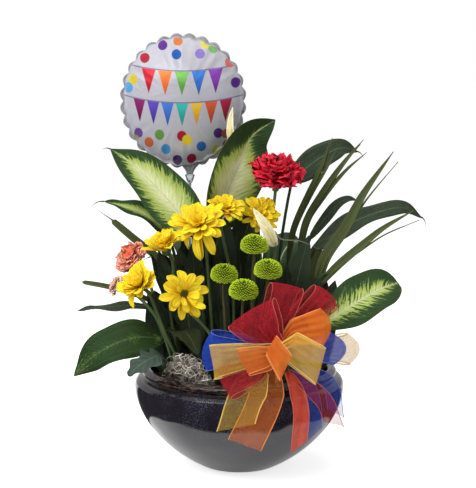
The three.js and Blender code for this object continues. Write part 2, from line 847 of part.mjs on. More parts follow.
const LOOPS = [
  {
    name: 'ribbon_red_upper_left',
    finish: 'ribbonRed',
    edge: [[-16, -144, 207], [27, -138, 232]],
    gather: [30, -138, 190],
    puff: 5,
    pinch: 0.62,
  },
  {
    name: 'ribbon_red_top',
    finish: 'ribbonRed',
    edge: [[31, -122, 249], [75, -118, 247]],
    gather: [42, -115, 194],
    puff: 5,
    pinch: 0.6,
  },
  {
    name: 'ribbon_red_right',
    finish: 'ribbonRed',
    edge: [[96, -106, 247], [122, -108, 222]],
    gather: [66, -106, 196],
    puff: 7,
    pinch: 0.5,
  },
  {
    name: 'ribbon_orange_right',
    finish: 'ribbonOrange',
    edge: [[107, -122, 219], [107, -142, 181]],
    gather: [60, -134, 194],
    puff: 11,
    pinch: 0.6,
  },
  {
    name: 'ribbon_orange_centre',
    finish: 'ribbonOrange',
    edge: [[60, -182, 178], [46, -180, 151]],
    gather: [36, -172, 190],
    puff: 4,
    pinch: 0.7,
  },
  {
    name: 'ribbon_orange_left',
    finish: 'ribbonOrange',
    edge: [[-5, -172, 185], [9, -168, 155]],
    gather: [28, -166, 174],
    puff: 4,
    pinch: 0.75,
  },
  {
    name: 'ribbon_yellow_front',
    finish: 'ribbonYellow',
    edge: [[99, -164, 183], [86, -164, 143]],
    gather: [60, -160, 184],
    puff: 6,
    pinch: 0.8,
  },
  {
    name: 'ribbon_yellow_left',
    finish: 'ribbonYellow',
    edge: [[-33, -152, 185], [-30, -152, 145]],
    gather: [16, -146, 172],
    puff: 4,
    pinch: 0.6,
  },
  {
    name: 'ribbon_yellow_far_right',
    finish: 'ribbonYellow',
    edge: [[137, -100, 190], [142, -100, 152]],
    gather: [68, -100, 168],
    puff: 5,
  },
  {
    name: 'ribbon_blue_right',
    finish: 'ribbonBlue',
    edge: [[124, -120, 196], [125, -118, 157]],
    gather: [66, -120, 170],
    puff: 10,
  },
  {
    name: 'ribbon_blue_left',
    finish: 'ribbonBlue',
    edge: [[-40, -124, 190], [-44, -126, 146]],
    gather: [18, -126, 172],
    puff: 4,
  },
  {
    name: 'ribbon_red_lower_left',
    finish: 'ribbonRed',
    edge: [[-29, -160, 143], [-14, -158, 121]],
    gather: [22, -157, 152],
    puff: 3,
    pinch: 0.8,
  },
];

// Each tail node holds the strands of one ribbon, which start from one place in the knot.
const TAILS = [
  {
    name: 'ribbon_tail_yellow',
    finish: 'ribbonYellow',
    strands: [
      { line: [[28, -147, 152], [18, -147, 138], [6, -147, 116], [-4, -147, 84]], halfWidth: 20, cut: -11 },
    ],
  },
  {
    name: 'ribbon_tail_orange',
    finish: 'ribbonOrange',
    strands: [
      { line: [[36, -139, 154], [34, -140, 135], [26, -141, 106], [6, -141, 62]], halfWidth: 20, cut: -2 },
    ],
  },
  {
    name: 'ribbon_tails_red',
    finish: 'ribbonRed',
    strands: [
      { line: [[54, -148, 152], [64, -149, 134], [71, -147, 104], [69, -143, 62]], halfWidth: 9 },
      { line: [[54, -148, 152], [80, -146, 134], [99, -134, 112], [110, -126, 84]], halfWidth: 10 },
    ],
  },
  {
    name: 'ribbon_tails_blue',
    finish: 'ribbonBlue',
    strands: [
      { line: [[62, -130, 152], [78, -132, 134], [87, -130, 108], [88, -126, 72]], halfWidth: 8 },
      { line: [[62, -130, 152], [96, -126, 142], [114, -118, 124], [121, -112, 92]], halfWidth: 10 },
    ],
  },
];

function makeTail({ name, finish, strands }) {
  addPiece(name, finish, joined(strands.map(tailBand)));
}

// The bow is wired to a straight wooden pick pushed into the soil; the wire's twist is its round head.
function makePick() {
  const wire = new THREE.SphereGeometry(5, 10, 6).scale(1, 0.8, 1).translate(...KNOT);
  roots.push(tube([KNOT, PICK_SOCKET_END], PICK_RADIUS + GAP, 2));
  return tube([KNOT, PICK_END], PICK_RADIUS, 2).add(solidOf(wire));
}

// The whole planter

addPiece('bowl', 'glaze', makeBowl());
LEAVES.forEach(makeLeaf);
makeBackLily();
PALMS.forEach(makePalm);
SPATHES.forEach(makeSpathe);
DAISIES.forEach(makeDaisy);
BUTTONS.forEach(makeButton);
CARNATIONS.forEach(makeCarnation);
addPiece('balloon', 'foil', makeBalloon());
addPiece('balloon_cup', 'clearPlastic', makeBalloonCup());
addPiece('balloon_stick', 'clearPlastic', makeBalloonStick());
LOOPS.forEach((loop) => addPiece(loop.name, loop.finish, loopBand(loop)));
TAILS.forEach(makeTail);
addPiece('bow_pick', 'wood', makePick());
addPiece('moss', 'moss', makeMoss());
addPiece('soil', 'soil', makeSoil());

export default planter;
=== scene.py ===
import math

import bpy
import numpy as np
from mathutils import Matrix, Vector


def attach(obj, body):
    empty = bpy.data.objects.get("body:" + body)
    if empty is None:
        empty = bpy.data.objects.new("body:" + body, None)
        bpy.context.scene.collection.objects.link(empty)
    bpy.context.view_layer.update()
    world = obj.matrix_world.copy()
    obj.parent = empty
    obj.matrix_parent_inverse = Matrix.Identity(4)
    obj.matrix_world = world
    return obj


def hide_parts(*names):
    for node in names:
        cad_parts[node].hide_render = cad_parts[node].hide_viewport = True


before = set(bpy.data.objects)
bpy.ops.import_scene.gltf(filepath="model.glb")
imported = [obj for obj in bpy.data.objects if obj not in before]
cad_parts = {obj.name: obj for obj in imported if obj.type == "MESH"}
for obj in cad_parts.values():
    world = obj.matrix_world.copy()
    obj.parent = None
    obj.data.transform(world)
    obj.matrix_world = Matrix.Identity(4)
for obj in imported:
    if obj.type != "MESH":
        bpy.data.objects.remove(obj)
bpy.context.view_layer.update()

bl_info = {
    "name": "Florist's Planter",
    "version": (1, 0, 0),
    "blender": (4, 5, 0),
    "location": "View3D > Sidebar > Planter",
    "description": "Builds a glazed bowl of leaves and flowers with a ribbon bow and a foil balloon",
    "category": "Add Mesh",
}

# Places and sizes of the pieces are in millimetres, as they stand in the bowl's own frame. Shape.build
# turns them into metres. The front faces -Y and the bowl stands on z = 0.

MM = 0.001

# Where the random draws of each kind of piece start
SEEDS = {"soil": 11, "moss": 23, "balloon": 5, "leaves": 37, "daisies": 100, "buttons": 200,
         "carnations": 300, "loops": 400, "tails": 500}

BASE_RADIUS = 45.0
FLARE_RADIUS = 88.0
FLARE_HEIGHT = 20.0
SHOULDER_HEIGHT = 62.0
BELLY_RADIUS = 131.0
BELLY_HEIGHT = 104.0
LIP_RADIUS = 121.0
RIM_HEIGHT = 127.0
BOWL_WALL = 7.0
BOWL_FLOOR = 9.0
LIP_FOOT = BELLY_HEIGHT + 9.0
SOIL_TOP = 112.0
SOIL_RADIUS = LIP_RADIUS - 10.8
SOIL_ROWS = 46
SOIL_AROUND = 120
SOIL_CRUMBS = 420
SOIL_WAVES = 40
SOIL_LUMP = 14.0

# Stems stand in the soil from the root's bottom, and are straight up to where they leave it
ROOT_BOTTOM = 90.0
STRAIGHT_TOP = SOIL_TOP - 6.0
STEM_RADIUS = 2.0
STEM_SIDES = 9
STEM_STEPS = 40

# The moss: the middle of its heap, as an angle and a radius, and how far its strands and its swell reach
MOSS_ANGLE = -2.29
MOSS_ANGLE_REACH = 0.33
MOSS_ANGLE_SWELL = 0.36
MOSS_RADIUS = 97.0
MOSS_RADIUS_REACH = 11.0
MOSS_RADIUS_SWELL = 12.0
MOSS_HEIGHT = 38.0
MOSS_STRANDS = 340
MOSS_STEPS = 21

BALLOON_CENTRE = (-71.0, 55.0, 455.0)
BALLOON_HALF_WIDTH = 80.0
BALLOON_HALF_HEIGHT = 85.0
BALLOON_HALF_DEPTH = 38.0
BALLOON_PUCKERS = 28
BALLOON_SEAM = 3.2
BALLOON_SCALLOP = 0.022
BALLOON_ROWS = 64
PRINTED_ROWS = 60
NECK_TOP = BALLOON_CENTRE[2] - BALLOON_HALF_HEIGHT + 9.0
NECK_BOTTOM = 362.0
NECK_SHIFT = 8.0
CUP_HEIGHT = 11.0
STICK_ROOT = (-52.0, 46.0)
STICK_RADIUS = 2.0

LEAF_THICKNESS = 0.7
PALM_THICKNESS = 0.6
SPATHE_THICKNESS = 0.8
TIP_HALF_WIDTH = 0.5

# Rows along a leaf and points round it, and the two powers of outline() for its half width
LEAF_GRID = (60, 40)
LOBED_GRID = (90, 40)
FILLER_GRID = (34, 26)
PALM_GRID = (40, 16)
SPATHE_GRID = (50, 30)
LEAF_OUTLINE = (0.5, 0.85)
PALM_OUTLINE = (0.35, 0.8)
SPATHE_OUTLINE = (0.5, 0.8)
LOBED_OUTLINE = (0.45, 0.6)

# Each leaf: its root in the soil, stalk, midrib, widest half, the way its upper side faces, its fold at
# the midrib, the wave of its margin and its paint. Some have lengthwise ribs, an outline of their own, or
# a hair, which is the line of a thin curled tip.

LEAVES = {
    "dumbcane_leaf_upper_left": dict(
        root=(-46, 14), stalk=[(-48, 0, 200)],
        midrib=[(-56, -10, 290), (-75, -2, 318), (-100, 8, 346), (-132, 18, 376), (-161, 24, 396)],
        half=33, face=(0.25, -0.9, 0.45), fold=0.25, wave=2.0, paint="variegated_wide",
        hair=[(-161, 24, 396), (-166, 25, 397), (-172, 25, 395)]),
    "dumbcane_leaf_left_curled": dict(
        root=(-66, 16), stalk=[(-72, 12, 220)],
        midrib=[(-88, 6, 290), (-105, 4, 307), (-126, 4, 320), (-148, 4, 327), (-168, 6, 332)],
        half=13, face=(0.2, -0.75, 0.65), fold=0.5, wave=2.5, paint="variegated_narrow",
        hair=[(-168, 6, 332), (-176, 7, 331), (-186, 8, 324)]),
    "dumbcane_leaf_centre": dict(
        root=(-22, 26), stalk=[(-28, 20, 200)],
        midrib=[(-26, 14, 296), (-14, 15, 345), (2, 20, 382), (16, 26, 412), (45, 34, 432)],
        half=38, face=(0.42, -0.86, 0.1), fold=0.42, wave=2.0, paint="variegated_low"),
    "dumbcane_leaf_right": dict(
        root=(76, -38), stalk=[(84, -50, 155)],
        midrib=[(98, -58, 186), (120, -62, 203), (146, -60, 219), (170, -52, 231), (193, -42, 237)],
        half=32, face=(-0.15, -0.75, 0.65), fold=0.2, wave=2.4, outline=(0.6, 0.48),
        paint="variegated_feather"),
    "dumbcane_leaf_lower_left": dict(
        root=(-72, -28), stalk=[(-80, -38, 152)],
        midrib=[(-94, -44, 168), (-126, -58, 172), (-156, -68, 163), (-180, -70, 148), (-199, -70, 128)],
        half=28, face=(-0.2, -0.75, 0.65), fold=0.18, wave=2.6, ribs=1.6, paint="variegated_flecked"),
    "dumbcane_leaf_low_centre": dict(
        root=(-66, -38), stalk=[(-72, -38, 146)],
        midrib=[(-76, -44, 168), (-72, -54, 179), (-64, -66, 180), (-56, -79, 171), (-49, -90, 158)],
        half=19, face=(0.3, -0.5, 0.8), fold=0.15, wave=1.0, paint="dark_plain"),
    "peace_lily_leaf_behind": dict(
        root=(44, 44), stalk=[(48, 42, 230)],
        midrib=[(66, 34, 354), (86, 38, 372), (108, 42, 387), (130, 44, 396), (150, 44, 391)],
        half=18, face=(0.1, -0.85, 0.5), fold=0.25, wave=1.5, ribs=0.6, paint="dark_ribbed",
        hair=[(149, 44, 392), (154, 44, 389), (158, 44, 382)]),
    "peace_lily_leaf_right": dict(
        root=(66, 8), stalk=[(70, 5, 190)],
        midrib=[(92, 4, 270), (128, 12, 296), (166, 22, 313), (204, 28, 321), (232, 28, 308)],
        half=17, face=(-0.1, -0.6, 0.8), fold=0.25, wave=2.2, ribs=1.0, paint="dark_ribbed",
        hair=[(230, 28, 310), (234, 28, 305), (235, 28, 297)]),
    "peace_lily_leaf_narrow": dict(
        root=(60, 34), stalk=[(66, 30, 200)],
        midrib=[(88, 20, 282), (106, 22, 306), (122, 24, 325), (136, 26, 333), (149, 28, 331)],
        half=7, face=(0.1, -0.8, 0.6), fold=0.25, wave=0.8, paint="dark_ribbed"),
    "peace_lily_leaf_left": dict(
        root=(-74, 2), stalk=[(-82, -2, 160)],
        midrib=[(-96, -6, 198), (-122, -14, 203), (-150, -18, 203), (-178, -20, 202), (-200, -20, 199)],
        half=16, face=(0, -0.12, 1), fold=0.12, wave=2.0, ribs=0.6, paint="dark_ribbed"),
    "peace_lily_leaf_middle": dict(
        root=(12, 30), stalk=[(10, 26, 140)],
        midrib=[(6, 20, 170), (2, 16, 210), (2, 16, 250), (8, 22, 290), (20, 32, 320)],
        half=30, face=(0.1, -1, 0.2), fold=0.25, wave=2.0, paint="dark_ribbed"),
    "peace_lily_leaf_middle_right": dict(
        root=(46, 12), stalk=[(46, 6, 135)],
        midrib=[(57, -4, 160), (63, -12, 190), (70, -12, 225), (78, -8, 260), (86, 0, 290)],
        half=18, face=(-0.1, -1, 0.3), fold=0.25, wave=1.5, paint="dark_ribbed"),
    "peace_lily_leaf_middle_left": dict(
        root=(-58, -6), stalk=[(-58, -10, 130)],
        midrib=[(-58, -14, 150), (-62, -16, 180), (-66, -16, 210), (-70, -12, 245), (-74, -4, 275)],
        half=23, face=(-0.1, -1, 0.2), fold=0.25, wave=1.5, paint="dark_ribbed"),
    "dumbcane_leaf_back_left": dict(
        root=(-24, 62), stalk=[(-26, 72, 160)],
        midrib=[(-32, 82, 205), (-44, 96, 236), (-60, 114, 258), (-78, 134, 268), (-94, 150, 262)],
        half=28, face=(-0.2, -0.45, 0.85), fold=0.25, wave=2.0, paint="variegated_back"),
    "dumbcane_leaf_back_right": dict(
        root=(38, 68), stalk=[(42, 78, 170)],
        midrib=[(46, 86, 215), (53, 98, 242), (63, 116, 259), (76, 136, 264), (90, 152, 254)],
        half=26, face=(0.2, -0.45, 0.85), fold=0.25, wave=2.0, paint="variegated_back"),
}

# More leaves of the middle plants, in groups: the group's seed (0 goes on with the draws that the groups
# share), how many, the lowest and highest x and y of their feet, their lean and the height of their tips

FILLERS = {
    "peace_lily_leaf_middle": [(0, 12, (-26, 2), (36, 40), (-20, 16), (190, 304)),
                               (62, 4, (-24, 0), (2, 22), (-2, 8), (306, 328))],
    "peace_lily_leaf_left": [(0, 8, (-94, -20), (-62, 16), (-30, -2), (150, 214)),
                             (63, 5, (-94, -30), (-78, 0), (-32, -16), (208, 242))],
    "peace_lily_leaf_middle_left": [(0, 20, (-76, -16), (-22, 28), (-14, 12), (185, 310)),
                                    (61, 8, (-74, -10), (-48, 20), (-44, -18), (222, 278))],
    "peace_lily_leaf_middle_right": [(0, 18, (20, -26), (66, 20), (-6, 12), (200, 280))],
    "peace_lily_leaf_right": [(0, 7, (58, -44), (96, -6), (4, 26), (176, 226)),
                              (61, 6, (80, -40), (98, -10), (8, 24), (228, 248))],
}

BACK_LILY_ROOT = (8, 84)
BACK_LILY_LEAVES = [
    dict(stalk=[(6, 90, 140)], half=22, face=(0, -0.6, 0.8),
         midrib=[(4, 96, 176), (2, 106, 208), (2, 122, 234), (4, 142, 248), (6, 160, 244)]),
    dict(stalk=[(-4, 88, 130)], half=19, face=(-0.3, -0.4, 0.85),
         midrib=[(-26, 94, 154), (-48, 104, 178), (-72, 118, 190), (-94, 130, 186), (-110, 140, 172)]),
    dict(stalk=[(20, 88, 130)], half=19, face=(0.3, -0.4, 0.85),
         midrib=[(42, 94, 156), (62, 104, 182), (82, 118, 196), (102, 130, 192), (116, 140, 178)]),
    dict(stalk=[(2, 92, 126)], half=17, face=(-0.1, 0.2, 0.97),
         midrib=[(-12, 104, 144), (-26, 122, 158), (-38, 144, 158), (-46, 162, 142), (-50, 172, 122)]),
    dict(stalk=[(14, 92, 126)], half=17, face=(0.1, 0.2, 0.97),
         midrib=[(28, 104, 144), (40, 122, 160), (50, 144, 162), (56, 162, 148), (58, 172, 128)]),
]

MUM_LEAF = dict(
    root=(-88, -46), stalk=[(-92, -58, 134)],
    midrib=[(-88, -72, 148), (-96, -86, 156), (-106, -98, 155), (-119, -107, 148), (-130, -112, 138)],
    half=19, face=(-0.2, -0.7, 0.75), fold=0.15, wave=1.5, outline=LOBED_OUTLINE, lobes=0.42)

FRONT_PALM_FACE = (-0.1, -0.9, 0.35)
BACK_PALM_FACE = (0.2, -0.45, 0.87)
PALMS = {
    "palm_blades_left": dict(root=(-86, 16), outline=(0.2, 0.14), blades=[
        dict(midrib=[(-76, 20, 220), (-90, 16, 247), (-112, 16, 268), (-136, 18, 287), (-160, 20, 307)],
             half=4.4, face=FRONT_PALM_FACE, hair=[(-159, 20, 307), (-168, 20, 313), (-178, 20, 320)]),
        dict(midrib=[(-92, 8, 188), (-112, 6, 207), (-138, 2, 218), (-166, 0, 226), (-196, -2, 232)],
             half=3.1, face=FRONT_PALM_FACE)]),
    "palm_blades_tall": dict(root=(68, 48), blades=[
        dict(midrib=[(62, 50, 250), (70, 42, 294), (88, 32, 340), (107, 24, 382), (116, 22, 410)],
             half=6, face=FRONT_PALM_FACE),
        dict(midrib=[(76, 38, 250), (84, 34, 300), (104, 32, 338), (130, 32, 376), (156, 34, 407)],
             half=7, face=FRONT_PALM_FACE)]),
    "palm_blades_leaning": dict(root=(90, -22), blades=[
        dict(midrib=[(95, -23, 228), (106, -24, 266), (130, -26, 304), (152, -28, 346), (186, -32, 396)],
             half=7, face=FRONT_PALM_FACE),
        dict(midrib=[(96, -37, 232), (118, -38, 256), (146, -42, 281), (174, -46, 305), (210, -50, 327)],
             half=5, face=FRONT_PALM_FACE)]),
    "palm_blade_broad": dict(root=(84, 20), blades=[
        dict(midrib=[(84, 22, 170), (84, 22, 205), (88, 22, 240), (98, 24, 268), (108, 26, 288)],
             half=13, face=FRONT_PALM_FACE)]),
    "palm_blades_back": dict(root=(-58, 74), blades=[
        dict(midrib=[(-64, 80, 190), (-74, 88, 222), (-88, 98, 246), (-104, 110, 258), (-120, 122, 256)],
             half=7, face=BACK_PALM_FACE),
        dict(midrib=[(-57, 84, 165), (-59, 98, 190), (-63, 116, 208), (-69, 138, 214), (-76, 156, 204)],
             half=7, face=BACK_PALM_FACE)]),
}

# The blades that a palm blade splits into: share of its width, and its tip's shift and drop
PALM_SPLITS = {
    "palm_blades_left": [(1.15, 0, 0)],
    "palm_blades_tall": [(0.75, 0, 0), (0.6, -5, 6), (0.55, 5, 16)],
    "palm_blades_leaning": [(1.1, 0, 0), (0.3, 7, 12)],
    "palm_blade_broad": [(1.0, 0, 0)],
    "palm_blades_back": [(0.75, 0, 0), (0.5, -11, 14), (0.42, 10, 26)],
}

# Peace-lily flowers. A spray is the line of a thin grey stalk that leans out beside the flower.
SPATHES = {
    "peace_lily_flower_tall": dict(
        root=(-4, 40), stalk=[(-2, 34, 250)],
        midrib=[(-5, 18, 396), (-8, 16, 412), (-9, 14, 430), (-8, 14, 448)],
        half=7.5, face=(-0.5, -0.8, 0.1)),
    "peace_lily_flower_small": dict(
        root=(32, 4), stalk=[(35, -14, 190)],
        midrib=[(44, -32, 281), (39, -36, 294), (29, -36, 311), (17, -32, 327)],
        half=10, face=(-0.3, -0.9, 0.3),
        spray=[(43, -31, 299), (52, -31, 289), (74, -30, 287), (98, -28, 276)]),
}

# Each daisy: its root, place, facing, radius, the rise of its petals in radians, its stem's bend and how
# many petals hang. Some have broader petals, and the open one has fewer rings and a larger disc.
DAISIES = {
    "daisy_top_left": dict(root=(-30, -14), place=(-48, -58, 309), face=(-0.25, -0.75, 0.6),
                           radius=36, lift=0.25, bend=(-36, -20, 210), droop=4),
    "daisy_top_right": dict(root=(-8, -4), place=(-18, -26, 325), face=(0.2, -0.5, 0.85),
                            radius=27, lift=0.3, bend=(-8, -12, 220), droop=0),
    "daisy_side_view": dict(root=(-62, -24), place=(-89, -39, 277), face=(-0.35, -0.25, 0.9),
                            radius=32, lift=0.85, bend=(-84, -28, 190), droop=0, broad=1.25),
    "daisy_left_cup": dict(root=(-58, -46), place=(-118, -70, 238), face=(-0.45, -0.6, 0.65),
                           radius=30, lift=0.7, bend=(-88, -62, 176), droop=1, broad=1.35),
    "daisy_front": dict(root=(-30, -62), place=(-65, -98, 233), face=(0.5, -0.8, 0.34),
                        radius=33, lift=0.15, bend=(-32, -80, 176), droop=0, open=True),
    "daisy_right": dict(root=(16, -6), place=(25, -6, 316), face=(0.25, -0.85, 0.5),
                        radius=27, lift=0.35, bend=(18, -8, 210), droop=0),
}

BUTTONS = {
    "button_flower_top": dict(root=(12, -34), place=(18, -58, 285), bend=(15, -44, 200), radius=17.5),
    "button_flower_right": dict(root=(26, -38), place=(34, -78, 258), bend=(30, -52, 190), radius=17.5),
    "button_flower_left": dict(root=(-18, -44), place=(-18, -66, 251), bend=(-17, -54, 180), radius=17),
    "button_flower_low": dict(root=(2, -52), place=(5, -88, 235), bend=(3, -62, 170), radius=18),
}
BUTTON_FACE = (0.05, -0.3, 0.95)
BUTTON_FLATNESS = 0.84
BUTTON_SHARE = 0.95
BUTTON_FLORETS = 330
BUTTON_STEM_RADIUS = 1.8
STEM_BEHIND_HEAD = 24.0

CARNATIONS = {
    "carnation_red": dict(root=(28, 22), place=(46, -12, 370), face=(0.05, -0.5, 0.87),
                          bend=(34, 12, 240), radius=36, paint="carnation_red_petal"),
    "carnation_salmon": dict(root=(-84, -10), place=(-134, -20, 267), face=(-0.5, -0.55, 0.65),
                             bend=(-100, -24, 195), radius=22, paint="carnation_salmon_petal"),
    "carnation_peach": dict(root=(-74, -40), place=(-150, -38, 234), face=(-0.8, -0.3, 0.5),
                            bend=(-95, -54, 186), radius=13, paint="carnation_peach_petal"),
}
CARNATION_HEIGHT = 0.42
# Rings of petals: how many, and their shares of the radius, of the height and of the drop at the edge
CARNATION_RINGS = [(8, 1.0, 0.42, 0.6), (8, 0.94, 0.62, 0.4), (6, 0.8, 0.8, 0.22), (6, 0.6, 0.94, 0.1),
                   (5, 0.38, 1.0, 0.0), (4, 0.18, 1.04, 0.0)]
CARNATION_UNDERSIDE = 0.2
CARNATION_SMALL = 30.0
CARNATION_LARGE = 36.0
CALYX_LENGTH = 22.0
CALYX_HALF_WIDTH = 5.5

# Each loop: the two corners of its far edge, its gather in the knot, its bulge, the share of its width
# that it is pinched to, and its finish. rounded lets the corners of the far edge fall back.

LOOPS = {
    "ribbon_red_upper_left": dict(edge=[(-16, -144, 203), (34, -137, 236)], gather=(30, -138, 190),
                                  puff=5, pinch=0.55, rounded=0.08, slot="ribbon_red"),
    "ribbon_red_top": dict(edge=[(40, -122, 252), (77, -118, 246)], gather=(42, -115, 194),
                           puff=5, pinch=0.7, rounded=0.05, slot="ribbon_red"),
    "ribbon_red_right": dict(edge=[(96, -106, 247), (122, -108, 222)], gather=(66, -106, 196),
                             puff=7, pinch=0.5, rounded=0.12, slot="ribbon_red"),
    "ribbon_orange_right": dict(edge=[(106, -122, 221), (108, -142, 181)], gather=(60, -134, 194),
                                puff=11, pinch=0.6, rounded=0.26, slot="ribbon_orange"),
    "ribbon_orange_centre": dict(edge=[(60, -182, 178), (46, -180, 151)], gather=(36, -172, 190),
                                 puff=4, pinch=0.7, slot="ribbon_orange"),
    "ribbon_orange_left": dict(edge=[(-5, -172, 185), (9, -168, 155)], gather=(28, -166, 174),
                               puff=4, pinch=0.75, slot="ribbon_orange"),
    "ribbon_yellow_front": dict(edge=[(99, -164, 183), (86, -164, 143)], gather=(60, -160, 184),
                                puff=6, pinch=0.8, slot="ribbon_yellow"),
    "ribbon_yellow_left": dict(edge=[(-33, -152, 185), (-30, -152, 145)], gather=(16, -146, 172),
                               puff=4, pinch=0.6, slot="ribbon_yellow"),
    "ribbon_yellow_far_right": dict(edge=[(137, -100, 190), (142, -100, 152)], gather=(68, -100, 168),
                                    puff=5, pinch=0.3, rounded=0.16, slot="ribbon_yellow"),
    "ribbon_blue_right": dict(edge=[(124, -120, 196), (125, -118, 157)], gather=(66, -120, 170),
                              puff=10, pinch=0.3, rounded=0.28, slot="ribbon_blue"),
    "ribbon_blue_left": dict(edge=[(-40, -124, 190), (-44, -126, 146)], gather=(18, -126, 172),
                             puff=4, pinch=0.3, rounded=0.1, slot="ribbon_blue"),
    "ribbon_red_lower_left": dict(edge=[(-30, -147, 158), (-15, -146, 121)], gather=(22, -146, 154),
                                  puff=3, pinch=0.6, rounded=0.08, slot="ribbon_red"),
}
LOOP_GATHER_DEPTH = 2.0

# Each group of tails: its finish, and each tail's line, half width and the slant of its cut end. The
# bright one is coloured lighter and more orange than the rest.
TAILS = {
    "ribbon_tail_yellow": ("ribbon_yellow", [
        dict(line=[(28, -143, 152), (18, -142, 138), (6, -142, 116), (-4, -142, 84)], half=20, cut=-11)]),
    "ribbon_tail_orange": ("ribbon_orange", [
        dict(line=[(36, -136, 154), (34, -137, 135), (26, -137, 106), (6, -137, 62)], half=20, cut=-2)]),
    "ribbon_tails_red": ("ribbon_red", [
        dict(line=[(54, -148, 152), (64, -149, 134), (71, -147, 104), (69, -143, 62)], half=9, cut=-9,
             bright=True),
        dict(line=[(54, -148, 152), (80, -146, 134), (99, -134, 112), (110, -126, 84)], half=10, cut=8)]),
    "ribbon_tails_blue": ("ribbon_blue", [
        dict(line=[(62, -130, 152), (78, -132, 134), (87, -130, 108), (88, -126, 72)], half=8, cut=-8),
        dict(line=[(62, -130, 152), (92, -126, 142), (108, -119, 124), (113, -114, 94)], half=9, cut=8)]),
}
LOOP_LEAD = 0.1
LOOP_SKEW = (0.15, 0.38)
KNOT_OPENING = 0.62
KNOT_DEPTH = 8.0
PLEAT_DEPTH = 2.8
TAIL_PINCH = 0.28
TAIL_OPENING = 2.2
TAIL_FACE = (0.0, -1.0, 0.1)
RIBBON_WIDTH = 40.0
WEAVE_PITCH = 2 * math.pi * 25
WIRE_RADIUS = 0.28
LOOP_GRID = (64, 30)
TAIL_GRID = (60, 24)
CREASE_DEPTH = 3.4
KNOT = (44, -137, 176)
PICK_END = (44, -72, 92)
PICK_RADIUS = 1.75

# Numpy surfaces


def unit(vectors):
    """Each vector divided by its length."""
    vectors = np.asarray(vectors, float)
    return vectors / np.maximum(np.linalg.norm(vectors, axis=-1, keepdims=True), 1e-9)


def square_to(along, face):
    """For each direction along: the one that is square to it and faces as near to face as it can."""
    face = np.asarray(face, float)
    return unit(face - along * (along @ face)[..., None])


def points_at(x, y, z):
    """Points from their three coordinates, which may be numbers or arrays that spread to one shape."""
    return np.stack(np.broadcast_arrays(x, y, z), axis=-1)


def circle(count):
    """Even angles, once round."""
    return np.linspace(0.0, 2 * np.pi, count, endpoint=False)


def draws(kind, number=0):
    """The random draws of a kind of piece, the same at every run."""
    return np.random.default_rng(SEEDS[kind] + number)


def smoothstep(low, high, x):
    """0 below low, 1 above high, and 3t^2 - 2t^3 between them."""
    t = np.clip((x - low) / (high - low), 0.0, 1.0)
    return t * t * (3.0 - 2.0 * t)


def spline(points, t):
    """Places and directions on the Catmull-Rom curve through the points, for t from 0 to 1.

    Each span is 0.5 (2b + (c - a) f + (2a - 5b + 4c - d) f^2 + (3b - a - 3c + d) f^3) between b and c,
    and the end spans borrow a point that goes straight on."""
    knots = np.asarray(points, float)
    knots = np.vstack([2 * knots[0] - knots[1], knots, 2 * knots[-1] - knots[-2]])
    spans = len(knots) - 3
    s = np.clip(np.asarray(t, float), 0.0, 1.0) * spans
    first = np.minimum(s.astype(int), spans - 1)
    f = (s - first)[..., None]
    a, b, c, d = (knots[first + k] for k in range(4))
    bent = 2 * a - 5 * b + 4 * c - d
    cubic = 3 * b - a - 3 * c + d
    place = 0.5 * (2 * b + (c - a) * f + bent * f**2 + cubic * f**3)
    slope = 0.5 * (c - a + 2 * bent * f + 3 * cubic * f**2)
    return place, unit(slope)


def outline(u, a, b):
    """Half width along a leaf: u to the a times (1 - u) to the b, scaled to be 1 at its widest."""
    widest = a / (a + b)
    u = np.clip(u, 0.0, 1.0)
    return u**a * (1 - u)**b / (widest**a * (1 - widest)**b)


def frame_of(face):
    """Three directions at right angles, as columns: two in the plane of a flower, and the way it faces."""
    forward = unit(face)
    helper = np.array([0.0, 0.0, 1.0]) if abs(forward[2]) < 0.95 else np.array([0.0, 1.0, 0.0])
    right = unit(np.cross(helper, forward))
    return np.stack([right, np.cross(forward, right), forward], axis=1)


def skin(middle, thickness, rows, around):
    """A closed thin form over a middle surface P(u, v), v from -1 to 1 across.

    Angle a goes round it: the point is P(u, cos a) plus the surface's normal times half the thickness
    times sin a. Also gives uv, with v from 0 to 1, and 1 on the upper side and 0 on the lower."""
    u = np.linspace(0.0, 1.0, rows)[:, None]
    a = circle(around)[None, :]
    v = np.cos(a)
    step = 1e-3
    slope_u = middle(np.minimum(u + step, 1.0), v) - middle(np.maximum(u - step, 0.0), v)
    slope_v = middle(u, v + step) - middle(u, v - step)
    normal = unit(np.cross(slope_u, slope_v))
    points = middle(u, v) + normal * (thickness / 2 * np.sin(a))[..., None]
    uv = np.stack(np.broadcast_arrays(u, 0.5 + 0.5 * v), axis=-1)
    upper = np.broadcast_to((np.sin(a) > 0).astype(float), uv.shape[:-1])
    return points, uv, upper


def tube(path, radius, sides):
    """A round tube: every point of the path gets a circle of its radius, square to the path.

    The circles are turned by the direction that the path bends least in, so they don't twist."""
    path = np.asarray(path, float)
    along = unit(np.gradient(path, axis=-2))
    spread = np.linalg.svd(along, full_matrices=False)[2][..., -1, :]
    side = unit(np.cross(along, spread[..., None, :]))
    up = np.cross(along, side)
    a = circle(sides)
    radius = np.broadcast_to(radius, path.shape[:-1])[..., None, None]
    ring = np.cos(a)[:, None] * side[..., None, :] + np.sin(a)[:, None] * up[..., None, :]
    return path[..., None, :] + radius * ring


def lathe(profile, sides):
    """A profile of (radius, height) turned about the z axis."""
    profile = np.asarray(profile, float)
    a = circle(sides)
    r, z = profile[:, :1], profile[:, 1:]
    return points_at(r * np.cos(a), r * np.sin(a), z)


def spiral(count):
    """Even places on a disc: place k is at radius sqrt((k + 0.5) / count), turned k golden angles."""
    k = np.arange(count)
    return np.sqrt((k + 0.5) / count), k * np.pi * (3 - np.sqrt(5))


